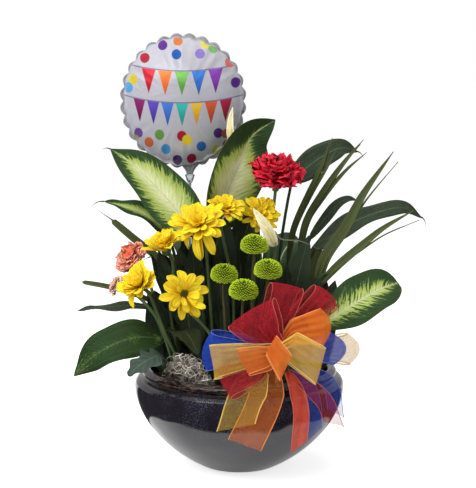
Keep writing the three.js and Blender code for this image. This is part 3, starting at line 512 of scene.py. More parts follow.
class Shape:
    """Gathers grids of points for one mesh, with uv, tone (0 to 1, for colour, and on petals for painted
    shade) and upper (1 or 0).
    """

    def __init__(self):
        self.points, self.uv, self.tone, self.upper = [], [], [], []
        self.quads, self.triangles, self.quad_marks, self.triangle_marks = [], [], [], []
        self.count = 0

    def add(self, points, uv=None, tone=0.5, upper=1.0, mark=0, wrap=True, caps=True):
        """Adds grids (..., rows, columns, 3). wrap joins the last column to the first, and caps close
        both ends of a wrapped grid with a point each. mark is the material's number."""
        points = points.reshape((-1,) + points.shape[-3:])
        many, rows, columns = points.shape[:3]
        grid = (many, rows, columns)
        uv = np.broadcast_to(np.zeros(2) if uv is None else uv, grid + (2,))
        tone = np.asarray(tone, float)
        tone = tone.reshape(-1, 1, 1) if tone.ndim == 1 else tone
        tone = np.broadcast_to(tone, grid)
        upper = np.broadcast_to(upper, grid)
        index = self.count + np.arange(many * rows * columns).reshape(grid)
        here = index if wrap else index[:, :, :-1]
        there = np.roll(index, -1, axis=2) if wrap else index[:, :, 1:]
        quads = np.stack([here[:, :-1], there[:, :-1], there[:, 1:], here[:, 1:]], axis=-1).reshape(-1, 4)
        self.quads.append(quads)
        self.quad_marks.append(np.full(len(quads), mark))
        values = [(self.points, points, 3), (self.uv, uv, 2), (self.tone, tone, 1), (self.upper, upper, 1)]
        for held, new, width in values:
            held.append(new.reshape(-1, width))
        self.count += many * rows * columns
        if wrap and caps:
            for row, first, second in ((0, there, here), (-1, here, there)):
                poles = self.count + np.arange(many)
                around = np.broadcast_to(poles[:, None], (many, columns))
                triangles = np.stack([around, first[:, row], second[:, row]], axis=-1).reshape(-1, 3)
                self.triangles.append(triangles)
                self.triangle_marks.append(np.full(len(triangles), mark))
                for held, new, width in values:
                    flat = new.reshape(grid + (width,))
                    held.append(flat[:, row].mean(axis=1))
                self.count += many
        return self

    def build(self, name, materials):
        """Makes the mesh object, in metres."""
        quads = np.concatenate(self.quads)
        triangles = np.concatenate(self.triangles) if self.triangles else np.zeros((0, 3), int)
        loops = np.concatenate([quads.ravel(), triangles.ravel()])
        starts = np.concatenate([4 * np.arange(len(quads)), 4 * len(quads) + 3 * np.arange(len(triangles))])
        marks = np.concatenate(self.quad_marks + self.triangle_marks)
        mesh = bpy.data.meshes.new(name)
        mesh.vertices.add(self.count)
        mesh.vertices.foreach_set("co", (np.concatenate(self.points) * MM).astype(np.float32).ravel())
        mesh.loops.add(len(loops))
        mesh.loops.foreach_set("vertex_index", loops.astype(np.int32))
        mesh.polygons.add(len(starts))
        mesh.polygons.foreach_set("loop_start", starts.astype(np.int32))
        mesh.polygons.foreach_set("material_index", marks.astype(np.int32))
        mesh.update(calc_edges=True)
        mesh.shade_smooth()
        layer = mesh.uv_layers.new(name="UVMap")
        layer.data.foreach_set("uv", np.concatenate(self.uv)[loops].astype(np.float32).ravel())
        for label, values in (("tone", self.tone), ("upper", self.upper)):
            attribute = mesh.attributes.new(label, "FLOAT", "POINT")
            attribute.data.foreach_set("value", np.concatenate(values).astype(np.float32).ravel())
        if mesh.validate():
            raise RuntimeError(f"{name} has faces that aren't whole")
        for material in materials:
            mesh.materials.append(material)
        piece = bpy.data.objects.new(name, mesh)
        bpy.context.scene.collection.objects.link(piece)
        return piece


def place_piece(piece, slot, *nodes):
    """Rides the piece on the planter, in place of its nodes. The slot is not used."""
    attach(piece, "root")
    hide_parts(*nodes)
    return piece


# Materials


def rgb(text):
    """A colour written as six hexadecimal digits, as linear red, green, blue and 1."""
    values = [int(text[k:k + 2], 16) / 255 for k in (0, 2, 4)]
    return [v / 12.92 if v <= 0.04045 else ((v + 0.055) / 1.055)**2.4 for v in values] + [1.0]


class Paint:
    """Writes a node tree. Every method adds a node and gives back its output socket."""

    def __init__(self, tree):
        self.tree = tree

    def node(self, kind, inputs=None, out=0, **settings):
        node = self.tree.nodes.new(kind)
        for key, value in settings.items():
            setattr(node, key, value)
        for key, value in (inputs or {}).items():
            self.plug(node.inputs[key], value)
        return node.outputs[out]

    def plug(self, socket, value):
        if isinstance(value, bpy.types.NodeSocket):
            self.tree.links.new(value, socket)
        else:
            socket.default_value = value

    def math(self, operation, *values):
        return self.node("ShaderNodeMath", dict(enumerate(values)), operation=operation)

    def times(self, first, second):
        return self.math("MULTIPLY", first, second)

    def plus(self, first, second):
        return self.math("ADD", first, second)

    def less(self, first, second):
        """The first minus the second."""
        return self.math("SUBTRACT", first, second)

    def line(self, value, slope, start):
        """slope times the value, plus start."""
        return self.math("MULTIPLY_ADD", value, slope, start)

    def across(self, uv):
        """The distance from the middle line of a leaf or ribbon: 0 on it and 1 at both margins."""
        return self.math("ABSOLUTE", self.line(self.split(uv, "Y"), 2.0, -1.0))

    def vector_math(self, operation, *values, out=0):
        return self.node("ShaderNodeVectorMath", dict(enumerate(values)), out, operation=operation)

    def mix(self, factor, first, second, blend_type="MIX"):
        inputs = {0: factor, 6: first, 7: second}
        return self.node("ShaderNodeMix", inputs, 2, data_type="RGBA", blend_type=blend_type)

    def smooth(self, value, low, high):
        """0 below low, 1 above high, smooth between them."""
        inputs = {"Value": value, "From Min": low, "From Max": high}
        return self.node("ShaderNodeMapRange", inputs, interpolation_type="SMOOTHSTEP")

    def below(self, value, low, high):
        """1 below low, 0 above high, smooth between them."""
        return self.less(1.0, self.smooth(value, low, high))

    def noise(self, vector, scale, detail=2.0, distortion=0.0, roughness=0.5):
        inputs = {"Vector": vector, "Scale": scale, "Detail": detail, "Distortion": distortion,
                  "Roughness": roughness}
        return self.node("ShaderNodeTexNoise", inputs)

    def cells(self, vector, scale):
        return self.node("ShaderNodeTexVoronoi", {"Vector": vector, "Scale": scale})

    def split(self, vector, axis):
        return self.node("ShaderNodeSeparateXYZ", {0: vector}, "XYZ".index(axis))

    def drawn(self, vector, x, y):
        """A uv stretched by x and y."""
        return self.join(self.times(self.split(vector, "X"), x), self.times(self.split(vector, "Y"), y))

    def join(self, x, y, z=0.0):
        return self.node("ShaderNodeCombineXYZ", {0: x, 1: y, 2: z})

    def ramp(self, factor, stops, interpolation="LINEAR"):
        node = self.tree.nodes.new("ShaderNodeValToRGB")
        node.color_ramp.interpolation = interpolation
        while len(node.color_ramp.elements) < len(stops):
            node.color_ramp.elements.new(0.5)
        for element, (position, colour) in zip(node.color_ramp.elements, stops):
            element.position = position
            element.color = colour
        self.plug(node.inputs[0], factor)
        return node.outputs[0]

    def bump(self, height, strength, distance):
        inputs = {"Height": height, "Strength": strength, "Distance": distance}
        return self.node("ShaderNodeBump", inputs)

    def attribute(self, name):
        return self.node("ShaderNodeAttribute", None, 2, attribute_name=name)

    def uv(self):
        return self.node("ShaderNodeUVMap", uv_map="UVMap")

    def place(self):
        """The point's own coordinates, in metres."""
        return self.node("ShaderNodeTexCoord", None, 3)

    def group(self, name, out=0, **inputs):
        node = self.tree.nodes.new("ShaderNodeGroup")
        node.node_tree = bpy.data.node_groups[name]
        for key, value in inputs.items():
            self.plug(node.inputs[key.replace("_", " ").capitalize()], value)
        return node.outputs[out]


def make_group(name, inputs, outputs, fill):
    """A shared node group. inputs and outputs are {name: (kind, default)}; fill(paint, inputs) writes
    its nodes and gives one socket for each output."""
    tree = bpy.data.node_groups.new(name, "ShaderNodeTree")
    for label, (kind, default) in inputs.items():
        socket = tree.interface.new_socket(label, in_out="INPUT", socket_type=f"NodeSocket{kind}")
        if kind != "Vector":
            socket.default_value = default
    for label, kind in outputs.items():
        tree.interface.new_socket(label, in_out="OUTPUT", socket_type=f"NodeSocket{kind}")
    paint = Paint(tree)
    entry = tree.nodes.new("NodeGroupInput")
    leave = tree.nodes.new("NodeGroupOutput")
    made = fill(paint, {label: entry.outputs[label] for label in inputs})
    for label, socket in zip(outputs, made):
        tree.links.new(socket, leave.inputs[label])


def make_material(name, paint_it, **fixed):
    """A Principled material. paint_it(paint) gives {socket name: socket}; fixed sets plain values."""
    material = bpy.data.materials.new(name)
    material.use_nodes = True
    tree = material.node_tree
    shader = tree.nodes["Principled BSDF"]
    for key, value in fixed.items():
        shader.inputs[key.replace("_", " ").title().replace("Ior", "IOR")].default_value = value
    paint = Paint(tree)
    for key, socket in paint_it(paint).items():
        tree.links.new(socket, shader.inputs[key])
    return material


def fill_grain(paint, given):
    """Fine grain: layered noise on a place, as a value around 0.5."""
    return [paint.noise(given["Place"], given["Scale"], 4.0, 0.3, 0.6)]


def fill_variegation(paint, given):
    """Pale feathered middle of a leaf.

    It is pale where the distance across is below reach + feather (streaks - 1/2) + 0.35 (lobes - 1/2).
    The streaks are noise drawn out along the side veins, and reach falls to 0 from fade on to the tip."""
    uv = given["Uv"]
    u = paint.split(uv, "X")
    across = paint.across(uv)
    vein = paint.line(across, -0.2, u)
    fine = paint.join(paint.times(vein, 52.0), paint.times(across, 2.2), given["Seed"])
    streaks = paint.noise(fine, 1.0, 4.0, 0.2, 0.65)
    coarse = paint.join(paint.times(vein, 9.0), paint.times(paint.split(uv, "Y"), 2.0), given["Seed"])
    lobes = paint.noise(coarse, 1.0, 2.0)
    tip = paint.below(u, given["Fade"], paint.plus(given["Fade"], 0.4))
    reach = paint.times(given["Reach"], paint.times(tip, paint.smooth(u, -0.02, 0.1)))
    reach = paint.line(paint.less(streaks, 0.5), given["Feather"], reach)
    reach = paint.line(paint.less(lobes, 0.5), 0.35, reach)
    outside = paint.less(across, reach)
    pale = paint.below(outside, -0.05, 0.07)
    whiter = paint.smooth(outside, -0.1, -0.62)
    inner = paint.mix(whiter, given["Lime"], given["Cream"])
    inner = paint.mix(paint.times(paint.smooth(streaks, 0.45, 0.62), 0.45), inner, given["Lime"])
    speck = paint.times(paint.smooth(streaks, 0.56, 0.64), paint.smooth(outside, -0.5, -0.1))
    inner = paint.mix(paint.times(speck, 0.8), inner, given["Dark"])
    border = paint.mix(paint.smooth(outside, 0.0, 0.3), given["Dark"], given["Deep"])
    border = paint.mix(paint.times(streaks, 0.5), border, given["Dark"])
    colour = paint.mix(pale, border, inner)
    rib = paint.below(across, 0.012, 0.05)
    return [paint.mix(paint.times(rib, 0.8), colour, given["Rib"])]


def fill_veins(paint, given):
    """Side veins that leave the midrib at a slant: ridges in u - slant times the distance across."""
    uv = given["Uv"]
    vein = paint.line(paint.across(uv), given["Slant"], paint.split(uv, "X"))
    wobble = paint.times(paint.noise(uv, 6.0), 0.02)
    wave = paint.math("SINE", paint.times(paint.plus(vein, wobble), given["Count"]))
    return [paint.line(wave, 0.5, 0.5)]


def fill_weave(paint, given):
    """Plain weave: threads along u and v, each a cosine ridge. The height is the higher of the two, and
    the cover (0 in the holes) grows with it and with slubs, which are noise drawn out along the ribbon."""
    uv = given["Uv"]
    ridges = []
    for axis, key in (("X", "Along"), ("Y", "Across")):
        turns = paint.times(paint.split(uv, axis), given[key])
        ridges.append(paint.line(paint.math("COSINE", turns), 0.5, 0.5))
    height = paint.math("MAXIMUM", *ridges)
    slub = paint.noise(paint.drawn(uv, 3.0, 40.0), 1.0, 2.0)
    cover = paint.line(paint.smooth(height, 0.25, 0.8), 0.75, paint.times(slub, 0.35))
    return [cover, height]


def make_groups():
    """The shared effects."""
    make_group("fine_grain", {"Place": ("Vector", None), "Scale": ("Float", 200.0)}, {"Grain": "Float"},
               fill_grain)
    make_group(
        "variegation",
        {"Uv": ("Vector", None), "Seed": ("Float", 0.0), "Reach": ("Float", 0.8), "Fade": ("Float", 0.7),
         "Feather": ("Float", 0.5), "Cream": ("Color", rgb("cdd19a")), "Lime": ("Color", rgb("a9b94c")),
         "Dark": ("Color", rgb("2c4a20")), "Deep": ("Color", rgb("1d3518")), "Rib": ("Color", rgb("b4b99a"))},
        {"Colour": "Color"}, fill_variegation)
    make_group("side_veins", {"Uv": ("Vector", None), "Count": ("Float", 120.0), "Slant": ("Float", -0.25)},
               {"Ridge": "Float"}, fill_veins)
    make_group("weave", {"Uv": ("Vector", None), "Along": ("Float", 900.0), "Across": ("Float", 300.0)},
               {"Cover": "Float", "Height": "Float"}, fill_weave)


def glaze(settings):
    """Dark glaze with fine speckle on the belly, streaked bronze on the rolled lip, wavy all over."""
    def paint_it(paint):
        place = paint.place()
        z = paint.split(place, "Z")
        angle = paint.math("ARCTAN2", paint.split(place, "Y"), paint.split(place, "X"))
        speck = paint.smooth(paint.noise(place, settings.speckle_scale, 2.0, 0.0, 0.8), 0.52, 0.7)
        broken = paint.smooth(paint.noise(place, 26.0, 3.0), 0.3, 0.7)
        broken = paint.times(broken, paint.smooth(z, 0.03, 0.075))
        speck = paint.times(speck, broken)
        belly = paint.mix(paint.noise(place, 18.0, 3.0), settings.glaze_deep, settings.glaze_warm)
        belly = paint.mix(speck, belly, settings.speckle_colour)
        level = paint.join(paint.times(angle, 9.0), 0.0, paint.times(z, 420.0))
        streaks = paint.noise(level, 1.0, 4.0, 0.4, 0.65)
        bronze = paint.ramp(streaks, [(0.4, rgb("0e0a0e")), (0.5, rgb("221a1a")), (0.57, rgb("625043")),
                                      (0.63, rgb("1c1518")), (0.8, rgb("352b28"))])
        on_lip = paint.smooth(z, LIP_FOOT * MM, (LIP_FOOT + 3.0) * MM)
        colour = paint.mix(on_lip, belly, bronze)
        waves = paint.noise(place, 9.0, 2.0)
        grain = paint.group("fine_grain", place=place, scale=700.0)
        height = paint.line(grain, 0.004, waves)
        rough = paint.line(grain, 0.12, 0.05)
        return {"Base Color": colour, "Roughness": rough, "Normal": paint.bump(height, 1.0, 0.009)}
    return make_material("glaze", paint_it, ior=1.62, coat_weight=0.6, coat_roughness=0.02, coat_ior=1.5)


def potting_soil():
    """Dark crumbly soil with pale grains."""
    def paint_it(paint):
        place = paint.place()
        crumbs = paint.noise(place, 160.0, 5.0, 0.0, 0.7)
        colour = paint.ramp(crumbs, [(0.3, rgb("0e0a08")), (0.55, rgb("2b2019")), (0.75, rgb("4a392c"))])
        perlite = paint.smooth(paint.cells(place, 140.0), 0.16, 0.08)
        colour = paint.mix(paint.times(perlite, 0.7), colour, rgb("a79f92"))
        return {"Base Color": colour, "Normal": paint.bump(crumbs, 0.9, 0.004)}
    return make_material("potting_soil", paint_it, roughness=0.95)


def strands():
    """Dried moss strands: pale grey-beige, darker in places."""
    def paint_it(paint):
        colour = paint.ramp(paint.attribute("tone"), [(0.0, rgb("6a6158")), (0.4, rgb("b3aa9e")),
                                                      (1.0, rgb("ece4d9"))])
        fuzz = paint.group("fine_grain", place=paint.place(), scale=1500.0)
        return {"Base Color": colour, "Normal": paint.bump(fuzz, 0.5, 0.0005)}
    return make_material("dried_moss", paint_it, roughness=0.85)


def leaf_paint(name, colour_of, veins, ridge, under, roughness, slant=-0.25):
    """A leaf: its upper side's colour from colour_of(paint, uv, ridges), ridged side veins at a slant, a
    paler underside."""
    def paint_it(paint):
        uv = paint.uv()
        ridges = paint.group("side_veins", uv=uv, count=veins, slant=slant)
        grain = paint.group("fine_grain", place=paint.place(), scale=450.0)
        top = colour_of(paint, uv, ridges)
        colour = paint.mix(paint.attribute("upper"), rgb(under), top)
        height = paint.line(grain, 0.25, ridges)
        rough = paint.line(grain, 0.2, roughness - 0.1)
        return {"Base Color": colour, "Roughness": rough, "Normal": paint.bump(height, ridge, 0.0006)}
    return make_material(name, paint_it, subsurface_weight=0.06, subsurface_scale=0.002,
                         specular_ior_level=0.35)


def variegated(name, seed, reach, fade, feather, settings, rib="b4b99a"):
    """A dumbcane leaf whose pale middle reaches so far across, fades so soon and is so ragged."""
    def colour_of(paint, uv, ridges):
        return paint.group("variegation", uv=uv, seed=seed, reach=reach, fade=fade, feather=feather,
                           cream=settings.leaf_cream, lime=settings.leaf_lime, dark=settings.leaf_dark,
                           deep=settings.leaf_deep, rib=rgb(rib))
    return leaf_paint(name, colour_of, 130.0, 0.35, "6f8455", 0.42)


def dark_leaf(name, light, dark, veins, ridge, roughness, slant=-0.25):
    """A plain dark leaf with painted shade in its sunken side veins, which leaves it lighter between them,
    and with a pale line on its midrib.
    """
    def colour_of(paint, uv, ridges):
        blotch = paint.noise(uv, 5.0, 3.0)
        # Painted shade: darker where the side-vein relief is low, plus random blotches.
        between = paint.line(ridges, 0.28, paint.times(blotch, 0.65))
        colour = paint.mix(between, rgb(dark), rgb(light))
        rib = paint.below(paint.across(uv), 0.015, 0.05)
        return paint.mix(paint.times(rib, 0.5), colour, rgb("6f7f58"))
    return leaf_paint(name, colour_of, veins, ridge, "4d5f45", roughness, slant)


def blade_paint(name, light, dark):
    """A palm blade: fine lengthwise streaks."""
    def colour_of(paint, uv, ridges):
        streaks = paint.noise(paint.drawn(uv, 2.0, 26.0), 1.0, 4.0, 0.0, 0.7)
        return paint.mix(streaks, rgb(dark), rgb(light))
    return leaf_paint(name, colour_of, 30.0, 0.1, "505e3a", 0.5)


def stem_paint(name, light, dark):
    """A stem: lengthwise streaks of two greens."""
    def paint_it(paint):
        place = paint.vector_math("MULTIPLY", paint.place(), (300.0, 300.0, 30.0))
        streak = paint.noise(place, 1.0, 3.0)
        return {"Base Color": paint.mix(streak, rgb(dark), rgb(light)),
                "Normal": paint.bump(streak, 0.3, 0.0005)}
    return make_material(name, paint_it, roughness=0.5, subsurface_weight=0.05, subsurface_scale=0.002)


def petal_paint(name, base, tip, shade, grooves, roughness, edge=None):
    """A petal: coloured from its base to its tip, where a darker base is painted shade at the heart of the
    flower. It has painted shade in its lengthwise grooves, in soft patches and where its own tone is low, and
    a colour of its own for the edge if one is given."""
    def paint_it(paint):
        uv = paint.uv()
        tone = paint.attribute("tone")
        colour = paint.mix(paint.smooth(paint.split(uv, "X"), 0.05, 0.75), base, tip)
        lines = paint.math("COSINE", paint.times(paint.split(uv, "Y"), grooves * 2 * math.pi))
        groove = paint.line(lines, 0.5, 0.5)
        soft = paint.noise(paint.join(paint.split(uv, "X"), paint.times(paint.split(uv, "Y"), 6.0),
                                      paint.times(tone, 7.0)), 1.6, 3.0)
        # Painted shade: soft patches, the grooves and a low tone mix the petal towards its shade colour.
        dark = paint.times(paint.smooth(soft, 0.4, 0.8), 0.4)
        dark = paint.line(groove, 0.18, dark)
        dark = paint.line(paint.less(1.0, tone), 0.26, dark)
        colour = paint.mix(dark, colour, shade)
        if edge is not None:
            colour = paint.mix(paint.smooth(paint.split(uv, "X"), 0.8, 0.98), colour, edge)
        return {"Base Color": colour, "Normal": paint.bump(groove, 0.35, 0.0006)}
    return make_material(name, paint_it, roughness=roughness, subsurface_weight=0.25, subsurface_scale=0.003,
                         specular_ior_level=0.15)


def spathe_paint():
    """A cream spathe with green along its midrib and at its foot, and painted shade in its sunken side veins.
    """
    def colour_of(paint, uv, ridges):
        u = paint.split(uv, "X")
        across = paint.across(uv)
        # Painted shade: darker cream where the side-vein relief is low.
        colour = paint.mix(ridges, rgb("e6ddb2"), rgb("efe7c6"))
        green = paint.math("MAXIMUM", paint.below(across, 0.01, 0.08), paint.below(u, 0.0, 0.16))
        return paint.mix(paint.times(green, 0.45), colour, rgb("a9b173"))
    return leaf_paint("spathe", colour_of, 40.0, 0.15, "e4dcae", 0.4)


def foil(name, base, printed, settings):
    """Metal foil with fine crinkles; the printed side has white ink, scattered dots and two strings of
    pennants in rainbow colours."""
    def paint_it(paint):
        place = paint.place()
        uv = paint.uv()
        crinkle = paint.noise(place, 26.0, 3.0, 1.2)
        fine = paint.noise(place, 110.0, 2.0, 0.6)
        height = paint.line(fine, 0.12, crinkle)
        normal = paint.bump(height, 0.45, 0.004)
        if not printed:
            colour = paint.mix(fine, base, rgb("8d8c92"))
            return {"Base Color": colour, "Normal": normal, "Roughness": paint.line(fine, 0.2, 0.22)}
        ink = paint.mix(crinkle, base, rgb("c8c7d0"))
        front = paint.attribute("upper")
        string = add_pennants(paint, uv, ink)
        ink = paint.mix(front, ink, string)
        ink = add_dots(paint, uv, ink, settings.dot_radius / BALLOON_HALF_HEIGHT / MM / 2)
        metal = paint.line(crinkle, 0.3, 0.1)
        return {"Base Color": ink, "Metallic": metal, "Normal": normal,
                "Roughness": paint.line(fine, 0.15, 0.16)}
    fixed = {} if printed else {"metallic": 0.25}
    return make_material(name, paint_it, **fixed)


# Balloon dots: places across and up the printed face, from -1 to 1, and colours

DOTS = [
    (-0.075, 0.930, "d0733c"), (-0.324, 0.852, "5b2f88"), (-0.091, 0.713, "2559a8"),
    (0.291, 0.728, "8e79c4"), (0.374, 0.890, "d8cf52"), (0.507, 0.812, "79b06a"),
    (-0.606, 0.651, "a82638"), (0.772, 0.590, "d36b5f"), (-0.806, 0.327, "d9c53a"),
    (-0.889, 0.210, "5aa0dc"), (0.855, 0.281, "5b2c86"), (-0.739, -0.491, "6d4796"),
    (-0.374, -0.506, "659a48"), (-0.008, -0.522, "b02338"), (0.075, -0.583, "dfca2e"),
    (0.590, -0.491, "552a80"), (-0.556, -0.630, "c8643c"), (-0.274, -0.722, "4a95cc"),
    (0.307, -0.691, "2f66b0"), (-0.814, -0.599, "a8a344"), (0.556, -0.769, "b9b348"),
    (-0.091, -0.892, "43245f"), (0.141, -0.877, "8f1f3a"), (0.739, -0.691, "7c2036"),
    (0.723, -0.506, "a85a3c"),
]

# Strings of pennants: height of the string's middle, a pennant's height and width, all as shares of the
# printed face from -1 to 1, and the pennants' colours
PENNANT_ROWS = [
    (0.46, 0.43, 0.27, ["b3202c", "d9622a", "5c9a44", "2f62b6", "6d2f93"]),
    (-0.02, 0.41, 0.235, ["6f1f52", "4a3a9c", "3560bb", "2f9a92", "d9a030", "c04a2c", "8c1f35"]),
]


def add_dots(paint, uv, colour, radius):
    """Round dots of the given radius, in uv, laid over a colour."""
    for x, z, text in DOTS:
        centre = (0.5 + x / 2, 0.5 + z / 2, 0.0)
        apart = paint.vector_math("DISTANCE", uv, centre, out=1)
        colour = paint.mix(paint.smooth(apart, radius, radius * 0.86), colour, rgb(text))
    return colour


def add_pennants(paint, uv, colour):
    """Strings of pennants on the curve z = top + 0.12 x^2: each hangs from it as a triangle, so that its
    half width falls evenly to 0 at its tip."""
    x = paint.line(paint.split(uv, "X"), 2.0, -1.0)
    z = paint.line(paint.split(uv, "Y"), 2.0, -1.0)
    for top, tall, wide, colours in PENNANT_ROWS:
        line = paint.line(paint.times(x, x), 0.12, top)
        below = paint.math("DIVIDE", paint.less(line, z), tall)
        turns = paint.math("DIVIDE", x, wide)
        beside = paint.times(paint.math("PINGPONG", paint.plus(turns, 0.5), 0.5), 2.0)
        room = paint.less(beside, below)
        inside = paint.times(paint.smooth(room, 0.1, 0.16), paint.smooth(below, 0.0, 0.03))
        count = len(colours)
        span = paint.math("LESS_THAN", paint.math("ABSOLUTE", turns), count / 2)
        along = paint.math("DIVIDE", paint.plus(turns, count / 2), count)
        stops = [(k / count, rgb(text)) for k, text in enumerate(colours)]
        shades = paint.ramp(along, stops, "CONSTANT")
        lighter = paint.mix(paint.smooth(below, 0.75, 0.0), shades, rgb("ffffff"), "SOFT_LIGHT")
        colour = paint.mix(paint.times(inside, span), colour, lighter)
        cord = paint.smooth(paint.math("ABSOLUTE", below), 0.035, 0.015)
        colour = paint.mix(paint.times(cord, 0.7), colour, rgb("6b5a88"))
    return colour


def organza(name, colour, shade, cover):
    """Sheer woven ribbon: thread cover and slubs set how much it hides; the selvedge is closer woven."""
    def paint_it(paint):
        uv = paint.uv()
        woven = paint.group("weave", uv=uv, along=WEAVE_PITCH, across=WEAVE_PITCH)
        height = paint.group("weave", 1, uv=uv, along=WEAVE_PITCH, across=WEAVE_PITCH)
        cloud = paint.noise(uv, 2.2, 2.0)
        threads = paint.noise(paint.vector_math("MULTIPLY", uv, (7.0, 34.0, 1.0)), 1.0, 3.0)
        selvedge = paint.smooth(paint.across(uv), 0.91, 0.95)
        tint = paint.math("MAXIMUM", paint.smooth(cloud, 0.4, 0.7), paint.smooth(threads, 0.45, 0.7))
        tint = paint.mix(paint.times(tint, 0.7), colour, shade)
        alpha = paint.line(woven, 0.5, cover)
        alpha = paint.math("MAXIMUM", alpha, paint.times(selvedge, 0.8))
        return {"Base Color": tint, "Alpha": paint.math("MINIMUM", alpha, 1.0),
                "Normal": paint.bump(height, 0.3, 0.0003)}
    return make_material(name, paint_it, roughness=0.65, specular_ior_level=0.25)


def edge_wire(name, colour):
    """Thin wrapped wire in the ribbon's selvedge."""
    def paint_it(paint):
        twist = paint.noise(paint.place(), 900.0, 2.0)
        return {"Base Color": paint.mix(paint.times(twist, 0.3), colour, rgb("fff2c8")),
                "Normal": paint.bump(twist, 0.4, 0.0003)}
    return make_material(name, paint_it, roughness=0.45)


def clear_plastic():
    """Clear plastic with faint scratches."""
    def paint_it(paint):
        fine = paint.group("fine_grain", place=paint.place(), scale=300.0)
        return {"Roughness": paint.line(fine, 0.12, 0.02), "Normal": paint.bump(fine, 0.1, 0.0004)}
    return make_material("clear_plastic", paint_it, base_color=rgb("f2f5f7"), transmission_weight=0.9,
                         ior=1.49)


def pick_wood():
    """Pale turned wood with a lengthwise grain."""
    def paint_it(paint):
        grain = paint.noise(paint.vector_math("MULTIPLY", paint.place(), (600.0, 120.0, 120.0)), 1.0, 3.0)
        return {"Base Color": paint.mix(grain, rgb("a98450"), rgb("d9bd8e")),
                "Normal": paint.bump(grain, 0.4, 0.0004)}
    return make_material("pick_wood", paint_it, roughness=0.7)


# Pieces


def bowl_profile():
    """The bowl's (radius, height) line, from the middle of its base up the outside, over the lip and down
    the inside. The belly is the cubic Bezier curve (45, 0), (88, 20), (131, 62), (131, 104), and the lip is
    the curve through its own points."""
    t = np.linspace(0.0, 1.0, 40)[:, None]

    def belly(inset):
        ends = np.array([(BASE_RADIUS - inset, inset), (FLARE_RADIUS - inset, FLARE_HEIGHT + inset),
                         (BELLY_RADIUS - inset, SHOULDER_HEIGHT), (BELLY_RADIUS - inset, BELLY_HEIGHT)])
        weights = np.hstack([(1 - t)**3, 3 * t * (1 - t)**2, 3 * t**2 * (1 - t), t**3])
        return weights @ ends

    top = BELLY_HEIGHT
    rim = [(BELLY_RADIUS, top), (BELLY_RADIUS - 0.9, top + 4.5), (BELLY_RADIUS - 3.6, top + 8.2),
           (BELLY_RADIUS - 7.2, top + 9.6), (LIP_RADIUS + 0.6, top + 9.4), (LIP_RADIUS - 2.4, top + 10.4),
           (LIP_RADIUS - 2.2, top + 12.6), (LIP_RADIUS + 0.2, top + 14.6), (LIP_RADIUS + 0.6, top + 17.4),
           (LIP_RADIUS - 1.2, RIM_HEIGHT - 2.6), (LIP_RADIUS - 4.6, RIM_HEIGHT - 0.2),
           (LIP_RADIUS - 8.6, RIM_HEIGHT - 0.8), (LIP_RADIUS - 11.4, RIM_HEIGHT - 4.4),
           (LIP_RADIUS - 11.2, RIM_HEIGHT - 9.0), (LIP_RADIUS - 8.4, top + 8.0),
           (BELLY_RADIUS - BOWL_WALL, top - 1.0)]
    over, _ = spline([(r, z, 0.0) for r, z in rim], np.linspace(0.0, 1.0, 90))
    inside = belly(BOWL_WALL)[::-1]
    inside = inside[inside[:, 1] > BOWL_FLOOR + 1]
    foot = [(2.0, 0.0), (BASE_RADIUS - 3.0, 0.0), (BASE_RADIUS - 0.6, 0.5)]
    floor = [(BASE_RADIUS - BOWL_WALL - 3, BOWL_FLOOR), (2.0, BOWL_FLOOR)]
    return np.vstack([foot, belly(0.0)[1:-1], over[:, :2], inside[1:], floor])


def make_bowl(settings):
    """The bowl, turned from its profile."""
    shape = Shape().add(lathe(bowl_profile(), 160))
    return place_piece(shape.build("bowl_glazed", [glaze(settings)]), "bowl_glaze", "bowl")


def lumps(x, y, rng, count, size):
    """A rough height field: the sum of count sine waves in random directions, of wavelength about size."""
    turn = rng.uniform(0, 2 * np.pi, (count, 1))
    pitch = 2 * np.pi / (size * rng.uniform(0.6, 1.8, (count, 1)))
    phase = rng.uniform(0, 2 * np.pi, (count, 1))
    flat = np.stack([x.ravel(), y.ravel()])
    waves = np.sin(pitch * (np.cos(turn) * flat[0] + np.sin(turn) * flat[1]) + phase)
    return (waves.sum(axis=0) / np.sqrt(count)).reshape(x.shape)


def make_soil():
    """The soil: a closed disc with loose crumbs on it. A point of its top is at a share q of the radius,
    and its height is the soil's top plus the lumps, less a smooth step down at the wall."""
    rng = draws("soil")
    q = np.linspace(0.0, 1.0, SOIL_ROWS)[:, None]
    a = circle(SOIL_AROUND)[None, :]
    x, y = SOIL_RADIUS * q * np.cos(a), SOIL_RADIUS * q * np.sin(a)
    z = SOIL_TOP - 0.8 + 1.1 * lumps(x, y, rng, SOIL_WAVES, SOIL_LUMP) - 2.0 * smoothstep(0.93, 1.0, q)
    top = points_at(x, y, z)
    under = top[::-1] * [0.99, 0.99, 0.0] + [0.0, 0.0, SOIL_TOP - 16.0]
    shape = Shape().add(np.concatenate([under[:-1], top[::-1][:1], top[::-1]], axis=0)[1:])
    radius, angle = spiral(SOIL_CRUMBS)
    angle = angle + rng.uniform(-0.3, 0.3, SOIL_CRUMBS)
    reach = (SOIL_RADIUS - 5) * radius
    centre = points_at(reach * np.cos(angle), reach * np.sin(angle), SOIL_TOP + 0.3)
    ball = lathe([(0.55, -0.9), (1.0, 0.0), (0.55, 0.9)], 6)
    size = rng.uniform(0.7, 2.0, (SOIL_CRUMBS, 1, 1, 1)) * rng.uniform(0.6, 1.2, (SOIL_CRUMBS, 1, 1, 3))
    shape.add(centre[:, None, None, :] + ball * size, tone=rng.random(SOIL_CRUMBS))
    return place_piece(shape.build("soil_surface", [potting_soil()]), "soil", "soil")


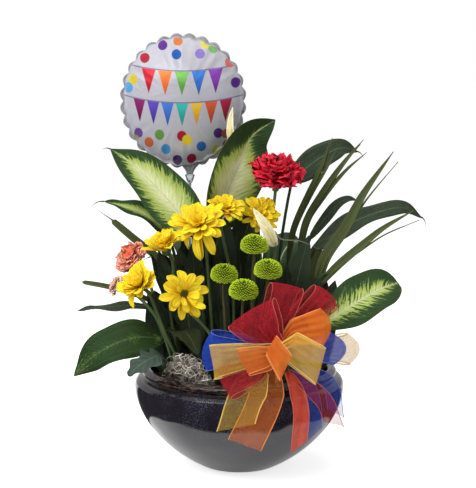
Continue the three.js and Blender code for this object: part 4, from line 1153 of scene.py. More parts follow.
def make_moss():
    """Dried moss: many thin curly strands. A strand is a circle drawn out along its own line, so that it
    loops: place = start + line t + loop (cos, sin)(turns t), laid over a low heap. The heap's height falls
    with the fourth power of the angle and of the radius from its middle, and more so towards the inside."""
    rng = draws("moss")
    count = MOSS_STRANDS
    t = np.linspace(0.0, 1.0, MOSS_STEPS)
    angle = MOSS_ANGLE + rng.uniform(-MOSS_ANGLE_REACH, MOSS_ANGLE_REACH, count)
    radius = MOSS_RADIUS + MOSS_RADIUS_REACH * rng.uniform(-1, 1, count)
    swell = 1 - ((angle - MOSS_ANGLE) / MOSS_ANGLE_SWELL)**4
    swell = swell * (1 - ((radius - MOSS_RADIUS) / MOSS_RADIUS_SWELL)**4)
    swell = swell * (1 - 0.75 * np.maximum(0, (MOSS_RADIUS - radius) / MOSS_RADIUS_REACH))
    heap = MOSS_HEIGHT * np.clip(swell, 0.05, 1)
    height = SOIL_TOP + 4.0 + heap * rng.uniform(0.02, 1.0, count)**0.6
    start = points_at(radius * np.cos(angle), radius * np.sin(angle), height)
    line = unit(rng.normal(size=(count, 3)) * [1, 1, 0.35])
    side = unit(np.cross(line, rng.normal(size=(count, 3))))
    loop = rng.uniform(2.8, 7.0, (count, 1, 1))
    turn = rng.uniform(2.5, 9.0, (count, 1)) * t + rng.uniform(0, 6.28, (count, 1))
    away = rng.uniform(-3.5, 3.5, (count, 1, 1)) * (t[None, :, None] - 0.5)
    path = start[:, None] + line[:, None] * (away + loop * np.cos(turn)[..., None])
    path = path + side[:, None] * loop * np.sin(turn)[..., None]
    path[..., 2] = np.maximum(path[..., 2], SOIL_TOP + 0.6)
    thick = rng.uniform(0.4, 0.7, (count, 1))
    shape = Shape().add(tube(path, thick, 3), tone=rng.random(count))
    return place_piece(shape.build("moss_strands", [strands()]), "moss", "moss")


def balloon_side(depth, q, a, rng):
    """One side of the filled balloon, q from its middle (0) to its seam (1), a round it.

    It bulges as (1 - q^2)^0.6. Pleats run in from the seam: cos(puckers a) with a strength that grows as
    a power of q from 3 to 9, so that each pleat has its own length."""
    lengths = rng.uniform(3.0, 9.0, BALLOON_PUCKERS)
    which = np.floor(a / (2 * np.pi) * BALLOON_PUCKERS).astype(int) % BALLOON_PUCKERS
    pleat = np.cos(BALLOON_PUCKERS * a) * q**lengths[which] * (1 - 0.55 * q**12)
    rim = 1 - BALLOON_SCALLOP * (0.5 + 0.5 * np.cos(BALLOON_PUCKERS * a)) * q**8
    sag = 1.0 + 0.02 * np.sin(3 * a + 0.6) * q**2
    across = (BALLOON_HALF_WIDTH - BALLOON_SEAM) * rim * q * sag
    tall = (BALLOON_HALF_HEIGHT - BALLOON_SEAM) * rim * q * sag
    bulge = depth * (1 - np.minimum(q, 1.0)**2)**0.6 + np.sign(depth) * 1.7 * pleat * (1 - q**30)
    cx, cy, cz = BALLOON_CENTRE
    return points_at(cx + across * np.cos(a), cy + bulge, cz + tall * np.sin(a))


def make_balloon(settings):
    """The balloon: two bulging sides, a flat crimped seam round them and a flat pleated neck."""
    rng = draws("balloon")
    cx, cy, cz = BALLOON_CENTRE
    a = circle(BALLOON_PUCKERS * 10)[None, :]
    q = 1 - (1 - np.linspace(0.012, 1.0, BALLOON_ROWS)[:, None])**1.5
    front = balloon_side(-BALLOON_HALF_DEPTH, q, a, rng)
    back = balloon_side(BALLOON_HALF_DEPTH, q, a, rng)
    uv = np.stack([0.5 + 0.5 * q * np.cos(a), 0.5 + 0.5 * q * np.sin(a)], axis=-1)
    shape = Shape()

    def add_side(side, y, upper):
        """The printed part of a side, and the fan from its middle. The back one is turned over."""
        order = slice(None, None, 1 if upper else -1)
        shape.add(side[:PRINTED_ROWS][order], uv[:PRINTED_ROWS][order], upper=upper, caps=False)
        centre = np.broadcast_to([cx, y, cz], side[:1].shape)
        fan = np.concatenate([centre, side[:1]])
        fan_uv = np.concatenate([np.full_like(uv[:1], 0.5), uv[:1]])
        shape.add(fan[order], fan_uv[order], upper=upper, caps=False)

    ripple = 0.9 * np.cos(BALLOON_PUCKERS * a + 0.8) + 0.5 * np.cos(2 * BALLOON_PUCKERS * a)
    s = np.array([0.0, 0.35, 0.7, 1.0])[:, None]
    scallop = 1 - BALLOON_SCALLOP * (0.5 + 0.5 * np.cos(BALLOON_PUCKERS * a))
    lobe = BALLOON_SEAM * s * (0.35 + 0.75 * np.abs(np.sin(BALLOON_PUCKERS * a / 2))**0.6)
    width = (BALLOON_HALF_WIDTH - BALLOON_SEAM) * scallop + lobe
    tall = (BALLOON_HALF_HEIGHT - BALLOON_SEAM) * scallop + lobe

    def seam(offset):
        """One layer of the seam: an ellipse with a lobe for every pucker, rippled to the front and back."""
        return points_at(cx + width * np.cos(a), cy + offset + ripple * s, cz + tall * np.sin(a))

    def neck(u, v):
        """The flat neck: it narrows as (1 - u)^1.6 and is pleated by the cosine of nine turns across."""
        down = np.clip(u, 0, 1)
        half = 4.0 + 13.0 * (1 - down)**1.6
        pleat = 1.2 * np.cos(9 * np.arccos(np.clip(v, -1, 1))) * (1 - 0.4 * down)
        z = NECK_TOP + (NECK_BOTTOM - NECK_TOP) * down
        return points_at(cx + NECK_SHIFT + v * half, cy + pleat, z)

    add_side(front, cy - BALLOON_HALF_DEPTH, 1.0)
    unprinted = slice(PRINTED_ROWS - 1, None)
    ring = [front[unprinted], seam(-0.15), seam(0.15)[::-1], back[unprinted][::-1]]
    shape.add(np.concatenate(ring), mark=1, caps=False)
    add_side(back, cy + BALLOON_HALF_DEPTH, 0.0)
    shape.add(skin(neck, 1.6, 14, 40)[0], mark=1)
    materials = [foil("printed_foil", settings.ink_colour, True, settings),
                 foil("silver_foil", settings.foil_colour, False, settings)]
    return place_piece(shape.build("balloon_foil", materials), "balloon_foil", "balloon")


def make_stick():
    """The clear stick and the cup that holds the balloon's neck."""
    cx, cy, _ = BALLOON_CENTRE
    x, top = cx + NECK_SHIFT, NECK_BOTTOM - 0.4 - CUP_HEIGHT
    path = [(*STICK_ROOT, ROOT_BOTTOM), (*STICK_ROOT, STRAIGHT_TOP), (x + 1, cy - 3, 240),
            (x, cy, top - 12), (x, cy, top - 0.4)]
    plastic = clear_plastic()
    stick = Shape().add(tube(spline(path, np.linspace(0, 1, STEM_STEPS))[0], STICK_RADIUS, 14))
    place_piece(stick.build("balloon_stick_clear", [plastic]), "clear_plastic", "balloon_stick")
    profile = [(0.3, 0), (2.6, 0), (3.2, 0.6), (6.3, CUP_HEIGHT - 1.2), (6.5, CUP_HEIGHT - 0.3),
               (6.1, CUP_HEIGHT), (5.6, CUP_HEIGHT - 0.6), (2.6, 1.8), (0.3, 1.6)]
    cup = Shape().add(lathe(profile, 32) + [x, cy, top])
    place_piece(cup.build("balloon_cup_clear", [plastic]), "clear_plastic", "balloon_cup")


def leaf_middle(leaf):
    """The middle surface of a leaf: midrib(u) + side reach cos(fold) + up (|reach| sin(fold) + relief).

    reach is v times the half width there. The relief is a ridge along the midrib, side veins,
    lengthwise ribs and a margin that waves up and down, and lobes cut the outline as a saw with rounded
    teeth."""
    fold, wave, lobes = leaf.get("fold", 0.25), leaf.get("wave", 1.5), leaf.get("lobes", 0.0)
    powers = leaf.get("outline", LEAF_OUTLINE)
    seed = float(np.sum(leaf["midrib"][0]))

    def middle(u, v):
        u = np.clip(u, 0.0, 1.0)
        point, along = spline(leaf["midrib"], u)
        up = square_to(along, leaf["face"])
        side = np.cross(up, along)
        width = leaf["half"] * outline(u, *powers)
        cut = 1 + 0.035 * np.sin(9 * u + seed + 1.5 * np.sign(v)) * v**2
        if lobes:
            cut = cut - lobes * (0.5 + 0.5 * np.cos(2 * np.pi * 3.6 * (u - 0.06))) * np.abs(v)
        reach = v * np.maximum(TIP_HALF_WIDTH, width * cut)
        full = np.minimum(1.0, width / 8.0)
        groove = 0.35 * np.exp(-(v / 0.05)**2) * full
        veins = 0.28 * np.cos(2 * np.pi * 17 * (u - 0.25 * np.abs(v)))
        veins = veins * 4 * np.abs(v) * (1 - np.abs(v)) * full
        margin = wave * v**2 * np.sin(2 * np.pi * 2.2 * u + seed + 1.9 * (v > 0)) * full
        lift = fold * (1.15 - 0.3 * np.abs(v))
        ribs = leaf.get("ribs", 0.0) * np.cos(7 * np.pi * np.abs(v)**0.8 + 2 * u) * full
        height = np.abs(reach) * np.sin(lift) + groove + veins + margin + ribs
        return point + side * (reach * np.cos(lift))[..., None] + up * height[..., None]

    return middle


def add_stalk(shape, leaf, radius):
    """A leaf's stalk from the soil, of material 1. It goes on as the rib under the leaf and thins out."""
    u = np.array([0.0, 0.2, 0.45, 0.7, 0.92])
    point, along = spline(leaf["midrib"], u)
    under = point - square_to(along, leaf["face"]) * (0.9 * radius * (1 - u))[:, None]
    foot = [(*leaf["root"], ROOT_BOTTOM), (*leaf["root"], STRAIGHT_TOP)]
    path = np.vstack([foot, np.asarray(leaf["stalk"], float).reshape(-1, 3), under])
    t = np.linspace(0.0, 1.0, 44)
    thin = np.interp(t, [0, 0.35, 0.6, 1.0], [1.15, 1.0, 0.8, 0.18])
    shape.add(tube(spline(path, t)[0], radius * thin, STEM_SIDES), mark=1)


def add_leaf(shape, leaf, grid=LEAF_GRID, thickness=LEAF_THICKNESS, stalk_radius=STEM_RADIUS):
    """A leaf: its closed blade and its stalk."""
    points, uv, upper = skin(leaf_middle(leaf), thickness, *grid)
    shape.add(points, uv, upper=upper)
    add_stalk(shape, leaf, stalk_radius)


def add_hair(shape, points, radius, mark=1):
    """A thin hooked tip that tapers evenly to a point."""
    t = np.linspace(0.0, 1.0, 14)
    shape.add(tube(spline(points, t)[0], radius * (1.05 - t), 6), mark=mark)


def add_fillers(shape, count, low, high, lean, tips, rng):
    """Upright leaves that fill a clump. At a share t of its height, a leaf is aside by its lean times
    t^2, back by 5 sin(pi t) and forward by 14 t^3."""
    for _ in range(count):
        x, y = rng.uniform(low[0], high[0]), rng.uniform(low[1], high[1])
        dx, top = rng.uniform(*lean), rng.uniform(*tips)
        t = np.array([0.1, 0.36, 0.62, 0.85, 1.0])[:, None]
        bow = t**2 * [dx, 0, 0] + np.sin(np.pi * t) * [0, 5, 0] - t**3 * [0, 14, 0]
        midrib = np.array([x, y, SOIL_TOP]) + t * [0, 0, top - SOIL_TOP] + bow
        leaf = dict(root=(x, y), stalk=[], midrib=midrib, half=rng.uniform(12, 19),
                    face=(rng.uniform(-0.6, 0.6), -1, 0.25), fold=rng.uniform(0.15, 0.45), wave=2.0)
        add_leaf(shape, leaf, FILLER_GRID, stalk_radius=1.6)


def make_leaves(paints, stem):
    """Every broad leaf with its fillers, the clump at the back and the lobed leaf."""
    shared = draws("leaves")
    for name, leaf in LEAVES.items():
        shape = Shape()
        add_leaf(shape, leaf)
        if "hair" in leaf:
            add_hair(shape, leaf["hair"], 0.9)
        for seed, *group in FILLERS.get(name, []):
            add_fillers(shape, *group, np.random.default_rng(seed) if seed else shared)
        piece = shape.build(f"{name}_blade", [paints[leaf["paint"]], stem])
        lily = name.startswith("peace_lily") or leaf["paint"] in ("dark_plain", "variegated_flecked")
        place_piece(piece, "dark_leaf" if lily else "variegated_leaf", name)
    shape = Shape()
    for leaf in BACK_LILY_LEAVES:
        add_leaf(shape, dict(leaf, root=BACK_LILY_ROOT))
    piece = shape.build("peace_lily_leaves_back_clump", [paints["dark_ribbed"], stem])
    place_piece(piece, "dark_leaf", "peace_lily_leaves_back")
    shape = Shape()
    add_leaf(shape, MUM_LEAF, LOBED_GRID)
    piece = shape.build("chrysanthemum_leaf_low_blade", [paints["lobed"], stem])
    place_piece(piece, "lobed_leaf", "chrysanthemum_leaf_low")


def make_palms(paint, stem):
    """The palm blades: long, folded and pointed. Where a blade splits, the tips of its parts go aside as
    t^1.5 and drop as t^2, for t from 0 to 1 along the midrib."""
    for name, palm in PALMS.items():
        shape = Shape()
        for blade in palm["blades"]:
            midrib = np.asarray(blade["midrib"], float)
            t = np.linspace(0.0, 1.0, len(midrib))[:, None]
            for share, shift, drop in PALM_SPLITS[name]:
                path = midrib + t**1.5 * [shift * 0.8, 0, 0] - t**2 * [0, 0, drop] - [0, abs(shift) * 0.3, 0]
                leaf = dict(root=palm["root"], stalk=[], midrib=path, half=blade["half"] * share,
                            face=blade["face"], fold=0.4, wave=0.3,
                            outline=palm.get("outline", PALM_OUTLINE))
                add_leaf(shape, leaf, PALM_GRID, PALM_THICKNESS, 1.5)
            if "hair" in blade:
                add_hair(shape, blade["hair"], 0.8)
        piece = shape.build(f"{name}_fronds", [paint, stem])
        place_piece(piece, "palm_leaf", name)


def make_spathes(paint, stem, spadix, light_stem):
    """The peace-lily flowers: a spathe that wraps round a spadix, and a spray of light stem if it has
    one. The spadix is a tube whose radius falls as the root of 1 - t^6 to its two ends."""
    for name, flower in SPATHES.items():
        shape = Shape()
        leaf = dict(flower, fold=0.85, wave=0.4, outline=SPATHE_OUTLINE)
        add_leaf(shape, leaf, SPATHE_GRID, SPATHE_THICKNESS, 1.8)
        if "spray" in flower:
            add_hair(shape, flower["spray"], 1.2, 3)
        place, _ = spline(flower["midrib"], np.linspace(0.06, 0.55, 16))
        core = place + unit(flower["face"]) * 3.2
        thick = 2.1 * np.sqrt(np.clip(1 - (np.linspace(-0.9, 1, 16))**6, 0.05, 1))
        shape.add(tube(core, thick, 12), mark=2)
        piece = shape.build(f"{name}_bloom", [paint, stem, spadix, light_stem])
        place_piece(piece, "spathe", name)


def add_stem(shape, flower, place, face, radius, mark):
    """A flower's stem: from its root, round its bend and straight into the back of its head."""
    forward = unit(face)
    place = np.asarray(place, float)
    points = [(*flower["root"], ROOT_BOTTOM), (*flower["root"], STRAIGHT_TOP), flower["bend"],
              place - STEM_BEHIND_HEAD * forward, place - forward]
    path, _ = spline(points, np.linspace(0, 1, STEM_STEPS))
    shape.add(tube(path, radius, STEM_SIDES), mark=mark)


def petal_ring(count, rng, length, width, base, low, high, hanging=0):
    """Middle surfaces of a ring of petals, in the flower's own frame.

    A petal's centre line leaves the disc at angle low and ends at angle high: radius base + L u cos, and
    height L u sin, of their mean up to there. Its half width grows as a sine, then closes as a circle, and
    it is channelled by v^2 and grooved by cos(5 pi v). Petals that point down hang, up to hanging of
    them."""
    turn = 2 * np.pi * (np.arange(count) + rng.uniform(-0.42, 0.42, count)) / count
    long = length * rng.uniform(0.74, 1.1, count)
    low = low + rng.uniform(-0.16, 0.16, count)
    high = high + rng.uniform(-0.45, 0.4, count)
    lowest = np.argsort(np.abs(turn - 1.45 * np.pi))[:hanging]
    high[lowest] -= 1.5
    long[lowest] *= 1.15
    half = width / 2 * rng.uniform(0.8, 1.15, count)
    sway = rng.uniform(-0.22, 0.22, count)
    cup = rng.uniform(0.1, 0.6, count)
    twist = rng.uniform(-0.35, 0.35, count)
    turn, long, low, high, half, sway, cup, twist = (
        value[:, None, None] for value in (turn, long, low, high, half, sway, cup, twist))

    def middle(u, v):
        u = np.clip(u, 0.0, 1.0)
        notch = 1 - 0.06 * u**6 * (0.5 + 0.5 * np.cos(3 * np.pi * v))
        s = u * notch
        angle = low + 0.5 * (high - low) * s
        r = base + long * s * np.cos(angle)
        z = long * s * np.sin(angle)
        grow = 0.32 + 0.68 * np.sin(np.pi / 2 * np.minimum(u / 0.68, 1.0))
        close = np.sqrt(np.clip(1 - (np.maximum(u - 0.66, 0) / 0.34)**2.2, 0.0, 1.0))
        wide = half * np.maximum(grow * close, 0.05)
        t = wide * v + sway * long * u**2
        z = z + cup * wide * v**2 + twist * wide * v * u + 0.22 * np.cos(5 * np.pi * v) * np.sin(np.pi * u)
        return points_at(r * np.cos(turn) - t * np.sin(turn), r * np.sin(turn) + t * np.cos(turn), z)

    return middle


def put(points, place, axes):
    """Points of a flower's own frame, in the planter's."""
    return np.asarray(place, float) + points @ axes.T


def add_petals(shape, middle, thickness, grid, place, axes, tone, rise=0.0):
    """Thin petals over their middle surfaces, raised by rise along the flower's own axis."""
    points, uv, upper = skin(middle, thickness, *grid)
    shape.add(put(points + [0, 0, rise], place, axes), uv, tone=tone, upper=upper)


# Rings of petals: how many, share of the radius, rise in radians and share of the width. A full daisy
# has a small disc, and an open one a large disc.

DAISY_GRID = (12, 14)
FLORET_GRID = (4, 8)
CARNATION_GRID = (15, 60)
PETAL_THICKNESS = 0.7
THIN_PETAL = 0.5
FULL_DISC = 3.4
OPEN_DISC = 6.2
DISC_FLORETS = 70
OPEN_RINGS = [(12, 1.0, -0.08, 1.12), (10, 0.86, 0.2, 1.05), (5, 0.6, 0.5, 0.9)]
FULL_RINGS = [(14, 1.0, -0.05, 1.0), (13, 0.9, 0.22, 0.95), (11, 0.72, 0.6, 0.9), (8, 0.5, 1.0, 0.9)]


def make_daisies(paints):
    """The yellow daisies: rings of petals round a low dome of florets, a green cup and a stem."""
    for k, (name, flower) in enumerate(DAISIES.items()):
        rng = draws("daisies", k)
        shape, axes, place = Shape(), frame_of(flower["face"]), flower["place"]
        radius, lift = flower["radius"], flower["lift"]
        full = "open" not in flower
        for number, (count, share, rise, narrow) in enumerate(FULL_RINGS if full else OPEN_RINGS):
            base = 4.0 - 2.4 * max(rise, 0.0)
            width = radius * 0.31 * narrow * flower.get("broad", 1.0)
            hanging = flower["droop"] if number == 0 else 0
            middle = petal_ring(count, rng, radius * share - base, width, base, lift + rise,
                                lift * 0.6 + 0.7 * rise - 0.1, hanging)
            # A petal's tone sets how much painted shade petal_paint gives it.
            tone = rng.random(count) * (1 - 0.3 * share) + 0.3
            add_petals(shape, middle, PETAL_THICKNESS, DAISY_GRID, place, axes, tone, 1.4 * rise)
        ring, turn = spiral(DISC_FLORETS)
        disc = FULL_DISC if full else OPEN_DISC
        dome = points_at(disc * ring * np.cos(turn), disc * ring * np.sin(turn), 2.8 - 1.6 * ring**2)
        bud = lathe([(0.5, -0.9), (0.75, 0.0), (0.5, 0.7)], 6)
        # The florets' tone rises from the middle of the disc, so their painted shade is deepest there.
        shape.add(put(dome[:, None, None, :] + bud, place, axes), tone=ring, mark=0 if full else 1)
        cup = [(1.6, -7.5), (3.2, -6.6), (5.6, -3.4), (6.2, -1.2), (5.2, 0.6), (2.0, 1.6)]
        shape.add(put(lathe(cup, 20), place, axes), mark=2)
        add_stem(shape, flower, place, flower["face"], STEM_RADIUS, 2)
        materials = [paints["daisy_petal"], paints["daisy_disc"], paints["stem"]]
        place_piece(shape.build(f"{name}_bloom", materials), "daisy_petal", name)


def make_buttons(paints):
    """The green button flowers: a dome of close florets, each a small spoon that points outwards.

    Floret k stands at 1.9 (k / count)^0.45 radians from the top, and the middle of the dome dips in."""
    for k, (name, flower) in enumerate(BUTTONS.items()):
        rng = draws("buttons", k)
        shape, axes, place = Shape(), frame_of(BUTTON_FACE), flower["place"]
        radius = flower["radius"] * BUTTON_SHARE
        count = BUTTON_FLORETS
        ring, turn = spiral(count)
        slope = ring**0.9 * 1.9 + rng.uniform(-0.03, 0.03, count)
        out = points_at(np.sin(slope) * np.cos(turn), np.sin(slope) * np.sin(turn), np.cos(slope))
        squash = np.array([1.0, 1.0, BUTTON_FLATNESS])
        start = out * squash * (radius * 0.78)
        start[:, 2] -= 2.6 * np.exp(-(ring / 0.22)**2)
        around = unit(points_at(-np.sin(turn), np.cos(turn), 0.0))
        inward = np.cross(out, around)
        long = radius * (0.17 + 0.06 * rng.random(count) + 0.05 * ring)[:, None, None]
        half = radius * (0.052 + 0.018 * ring)[:, None, None]
        curl = (0.55 - 0.9 * ring)[:, None, None]

        def middle(u, v):
            u = np.clip(u, 0.0, 1.0)
            wide = half * np.sin(np.pi * (0.2 + 0.5 * u))
            forward = long * u
            back = curl * long * u**2 + 0.6 * wide * v**2
            place_out = start[:, None, None] + out[:, None, None] * forward[..., None]
            return (place_out + around[:, None, None] * (wide * v)[..., None]
                    - inward[:, None, None] * back[..., None])

        # Tone falls towards the middle of the dome, so painted shade deepens there.
        tone = rng.random(count) * (0.35 + 0.65 * ring)
        add_petals(shape, middle, THIN_PETAL, FLORET_GRID, place, axes, tone)
        core = [(0.6 * radius, -0.42 * radius), (0.78 * radius, -0.2 * radius), (0.8 * radius, 0.08 * radius),
                (0.66 * radius, 0.36 * radius), (0.3 * radius, 0.44 * radius)]
        shape.add(put(lathe(core, 24), place, axes), mark=1)
        cup = [(1.4, -0.72 * radius), (2.6, -0.66 * radius), (0.32 * radius, -0.52 * radius),
               (0.62 * radius, -0.4 * radius)]
        shape.add(put(lathe(cup, 18), place, axes), mark=2)
        add_stem(shape, flower, place, BUTTON_FACE, BUTTON_STEM_RADIUS, 2)
        materials = [paints["button_floret"], paints["button_core"], paints["brown_stem"]]
        place_piece(shape.build(f"{name}_bloom", materials), "button_floret", name)


def make_carnations(paints):
    """The carnations: rings of ruffled fan petals with a toothed edge, in a green calyx.

    A petal's point at u out and v across is at radius R u^1.25 and height H u^0.75 (1 - drop u^3), plus a
    ruffle of sines of v that grows as u^2; its edge is longer and shorter by a saw of v. The teeth and the
    finer ruffles are as strong as the square of the flower's size, so small ones are smooth."""
    for k, (name, flower) in enumerate(CARNATIONS.items()):
        rng = draws("carnations", k)
        shape, axes, place = Shape(), frame_of(flower["face"]), flower["place"]
        radius = flower["radius"]
        sink = CARNATION_UNDERSIDE * radius
        crisp = (radius / CARNATION_LARGE)**2
        for count, share, rise, drop in CARNATION_RINGS if radius > CARNATION_SMALL else CARNATION_RINGS[:4]:
            turn = (2 * np.pi * (np.arange(count) + rng.uniform(-0.45, 0.45, count)) / count)[:, None, None]
            spread = (0.72 + 0.25 * rng.random(count))[:, None, None] * (1.0 + 0.8 * (1 - share))
            phase = rng.uniform(0, 6.28, (4, count, 1, 1))
            size = rng.uniform(0.82, 1.06, (count, 1, 1))
            lifted = rng.uniform(0.8, 1.15, (count, 1, 1))

            def middle(u, v):
                u = np.clip(u, 0.0, 1.0)
                saw = np.abs(((v * 4.5 + phase[3]) % 1.0) - 0.5) * 2
                teeth = 0.11 * crisp * saw + 0.05 * np.cos(3 * v + phase[0])
                s = u * (1 - teeth * u**4)
                r = radius * share * size * s**1.25
                h = (CARNATION_HEIGHT * radius + sink) * rise * lifted * s**0.75 * (1 - drop * s**3)
                waves = (0.09 * np.sin(6 * v + phase[1]) + 0.06 * crisp * np.sin(13 * v + phase[2])
                         + 0.03 * crisp * s**2 * np.sin(26 * v + phase[0]))
                ruffle = radius * s**2 * waves
                angle = turn + spread * v * (0.35 + 0.65 * s) + 0.09 * np.sin(8 * v + phase[1]) * s**2
                r = r + ruffle * 0.5
                z = h + ruffle - sink
                return points_at(r * np.cos(angle), r * np.sin(angle), z)

            # A petal's tone sets how much painted shade petal_paint gives it.
            tone = 0.35 + 0.65 * rng.random(count)
            add_petals(shape, middle, THIN_PETAL, CARNATION_GRID, place, axes, tone)
        length = CALYX_LENGTH * min(1.0, radius / 26)
        wide = CALYX_HALF_WIDTH * min(1.0, radius / 22)
        calyx = [(1.6, -sink - length), (wide * 0.75, -sink - length * 0.9),
                 (wide * 0.95, -sink - length * 0.5), (wide, -sink - length * 0.15),
                 (wide * 1.35, -sink + 2.0), (wide * 0.7, -sink + 2.6)]
        shape.add(put(lathe(calyx, 24), place, axes), mark=1)
        foot = np.asarray(place, float) - axes[:, 2] * (sink + 6)
        add_stem(shape, flower, foot, flower["face"], STEM_RADIUS, 1)
        materials = [paints[flower["paint"]], paints["calyx"]]
        place_piece(shape.build(f"{name}_bloom", materials), flower["paint"], name)


def folds(u, v, rng, count, depth):
    """Pressed creases: the sum of count triangle waves |frac(a u + b v + c) - 1/2| in random directions."""
    height = 0.0
    for _ in range(count):
        along, across, start = rng.uniform(0.5, 2.4), rng.uniform(-0.8, 0.8), rng.random()
        height = height + np.abs((along * u + across * v + start) % 1.0 - 0.5)
    return depth * (height - count / 4)


def loop_surface(loop, u, v, rng):
    """A ribbon loop: from the knot to its gather, out to its far edge, and back behind on a half turn.

    Place = centre + outward sin + half edge v opening + front (cos (gather depth + puff sin^0.8) + pleats
    + creases), where sin and cos are of the half turn. The centre goes from the knot to the gather and
    back, aside by a share LOOP_SKEW on its way back, and the ribbon closes to KNOT_OPENING there. The
    corners of the far edge fall back by rounded v^2 sin^2."""
    top, bottom = (np.asarray(p, float) for p in loop["edge"])
    start, knot = np.asarray(loop["gather"], float), np.array(KNOT, float)
    knot[1] = np.clip(knot[1], start[1] - KNOT_DEPTH, start[1] + KNOT_DEPTH)
    outward = (top + bottom) / 2 - start
    half = (top - bottom) / 2
    front = unit(np.cross(outward, half))
    if front[1] > 0:
        front, half = -front, -half
    lead = np.clip(np.minimum(u, 1 - u) / LOOP_LEAD, 0.0, 1.0)
    half_turn = np.pi * np.clip((u - LOOP_LEAD) / (1 - 2 * LOOP_LEAD), 0.0, 1.0)
    reach, turn = np.sin(half_turn), np.cos(half_turn)
    opening = (loop["pinch"] + (1 - loop["pinch"]) * reach**0.7) * (KNOT_OPENING + (1 - KNOT_OPENING) * lead)
    pleat = PLEAT_DEPTH * (1 - opening)**0.8 * np.cos(np.pi * 4.5 * v + rng.uniform(0, 6))
    crease = folds(u, v, rng, 4, CREASE_DEPTH) * (0.4 + 0.6 * reach) * (1 - reach**8)
    depth = turn * (LOOP_GATHER_DEPTH + loop["puff"] * np.maximum(reach, 0)**0.8) + pleat + crease
    edge_bow = 1 + 0.03 * np.sin(np.pi * v * 0.5 + rng.uniform(0, 6)) * reach
    edge_bow = edge_bow - loop.get("rounded", 0.0) * v**2 * reach**2
    skew = rng.choice([-1, 1]) * rng.uniform(*LOOP_SKEW) * smoothstep(0.3, 0.7, u) * lead
    centre = knot + (start - knot) * lead[..., None] + half * skew[..., None]
    place = centre + outward * (reach * edge_bow)[..., None] + half * (v * opening)[..., None]
    return place + front * depth[..., None]


def tail_surface(tail, u, v, rng):
    """A hanging tail: line(u) + side v half width opening + a slanted cut, with a long soft fold."""
    point, along = spline(tail["line"], u)
    up = square_to(along, TAIL_FACE)
    side = np.cross(up, along)
    opening = TAIL_PINCH + (1 - TAIL_PINCH) * np.minimum(1.0, TAIL_OPENING * u)**0.8
    fold = folds(0.6 * u, v, rng, 3, CREASE_DEPTH)
    pleat = 1.2 * np.cos(np.pi * 3 * v) * np.maximum(0, 1 - 3 * u)
    place = point + side * (v * opening * tail["half"])[..., None]
    return place + along * (v * tail["cut"] * u**6)[..., None] + up * (fold + pleat)[..., None]


def add_cloth(shape, surface, rows, columns, mark=0):
    """An open sheet of the material mark, with a thin wire of material 1 along both selvedges. Gives its
    flat width and length in mm, which are its widest breadth and its length along the middle."""
    u = np.linspace(0.0, 1.0, rows)[:, None] + np.zeros((1, columns))
    v = np.linspace(-1.0, 1.0, columns)[None, :] + np.zeros((rows, 1))
    points = surface(u, v)
    length = np.linalg.norm(np.diff(points[:, columns // 2], axis=0), axis=-1).sum()
    width = np.linalg.norm(np.diff(points, axis=1), axis=-1).sum(axis=1).max()
    steps = np.linalg.norm(np.diff(points, axis=0), axis=-1).cumsum(axis=0)
    along = np.vstack([np.zeros((1, columns)), steps]) / RIBBON_WIDTH
    uv = np.stack([along, 0.5 + 0.5 * v], axis=-1)
    shape.add(points, uv, mark=mark, wrap=False)
    for column in (0, columns - 1):
        shape.add(tube(points[:, column], WIRE_RADIUS, 5), mark=1)
    return width, length


def make_bow(paints):
    """The bow: the pick with its twisted wire, twelve loops and the hanging tails."""
    knot, end = np.asarray(KNOT, float), np.asarray(PICK_END, float)
    pick = Shape().add(tube(knot + (end - knot) * np.linspace(0, 1, 16)[:, None], PICK_RADIUS, 12))
    t = np.linspace(0.0, 1.0, 90)[:, None]
    turns = 2 * np.pi * 5 * t
    twist = knot + np.hstack([3.6 * np.cos(turns), 5.0 * (t - 0.5), 3.6 * np.sin(turns)])
    pick.add(tube(twist, 0.7, 6), mark=1)
    piece = pick.build("bow_pick_wood", [paints["pick_wood"], paints["silver_wire"]])
    place_piece(piece, "pick_wood", "bow_pick")
    for k, (name, loop) in enumerate(LOOPS.items()):
        rng = draws("loops", k)
        state = rng.bit_generator.state

        def surface(u, v):
            rng.bit_generator.state = state
            return loop_surface(loop, u, v, rng)

        shape = Shape()
        width, length = add_cloth(shape, surface, *LOOP_GRID)
        piece = shape.build(f"{name}_cloth", [paints[loop["slot"]], paints[loop["slot"] + "_wire"]])
        place_piece(piece, loop["slot"], name)
    for k, (name, (slot, tails)) in enumerate(TAILS.items()):
        rng = draws("tails", k)
        shape = Shape()
        cut = [add_cloth(shape, lambda u, v: tail_surface(tail, u, v, rng), *TAIL_GRID,
                         2 if "bright" in tail else 0) for tail in tails]
        materials = [paints[slot + end] for end in ("_hung", "_wire", "_bright") if slot + end in paints]
        piece = shape.build(f"{name}_cloth", materials)
        place_piece(piece, slot, name)
        width, length = max(w for w, _ in cut), sum(l for _, l in cut)


# Settings, operators and panel


def colour_property(label, text):
    """A colour setting with its default as six hexadecimal digits."""
    return bpy.props.FloatVectorProperty(
        name=label, description=f"{label}, linear", size=4, subtype="COLOR", min=0.0, max=1.0,
        default=rgb(text))


class BowlSettings(bpy.types.PropertyGroup):
    glaze_deep: colour_property("Glaze, deep", "121018")
    glaze_warm: colour_property("Glaze, warm", "221d24")
    speckle_colour: colour_property("Speckle", "787a92")
    speckle_scale: bpy.props.FloatProperty(
        name="Speckle scale", description="Speckles in a metre", default=800.0, min=50.0)


class FoliageSettings(bpy.types.PropertyGroup):
    leaf_cream: colour_property("Leaf, cream", "d3d6a8")
    leaf_lime: colour_property("Leaf, lime", "9aab50")
    leaf_dark: colour_property("Leaf, dark", "3a5a28")
    leaf_deep: colour_property("Leaf, deep", "1c3019")


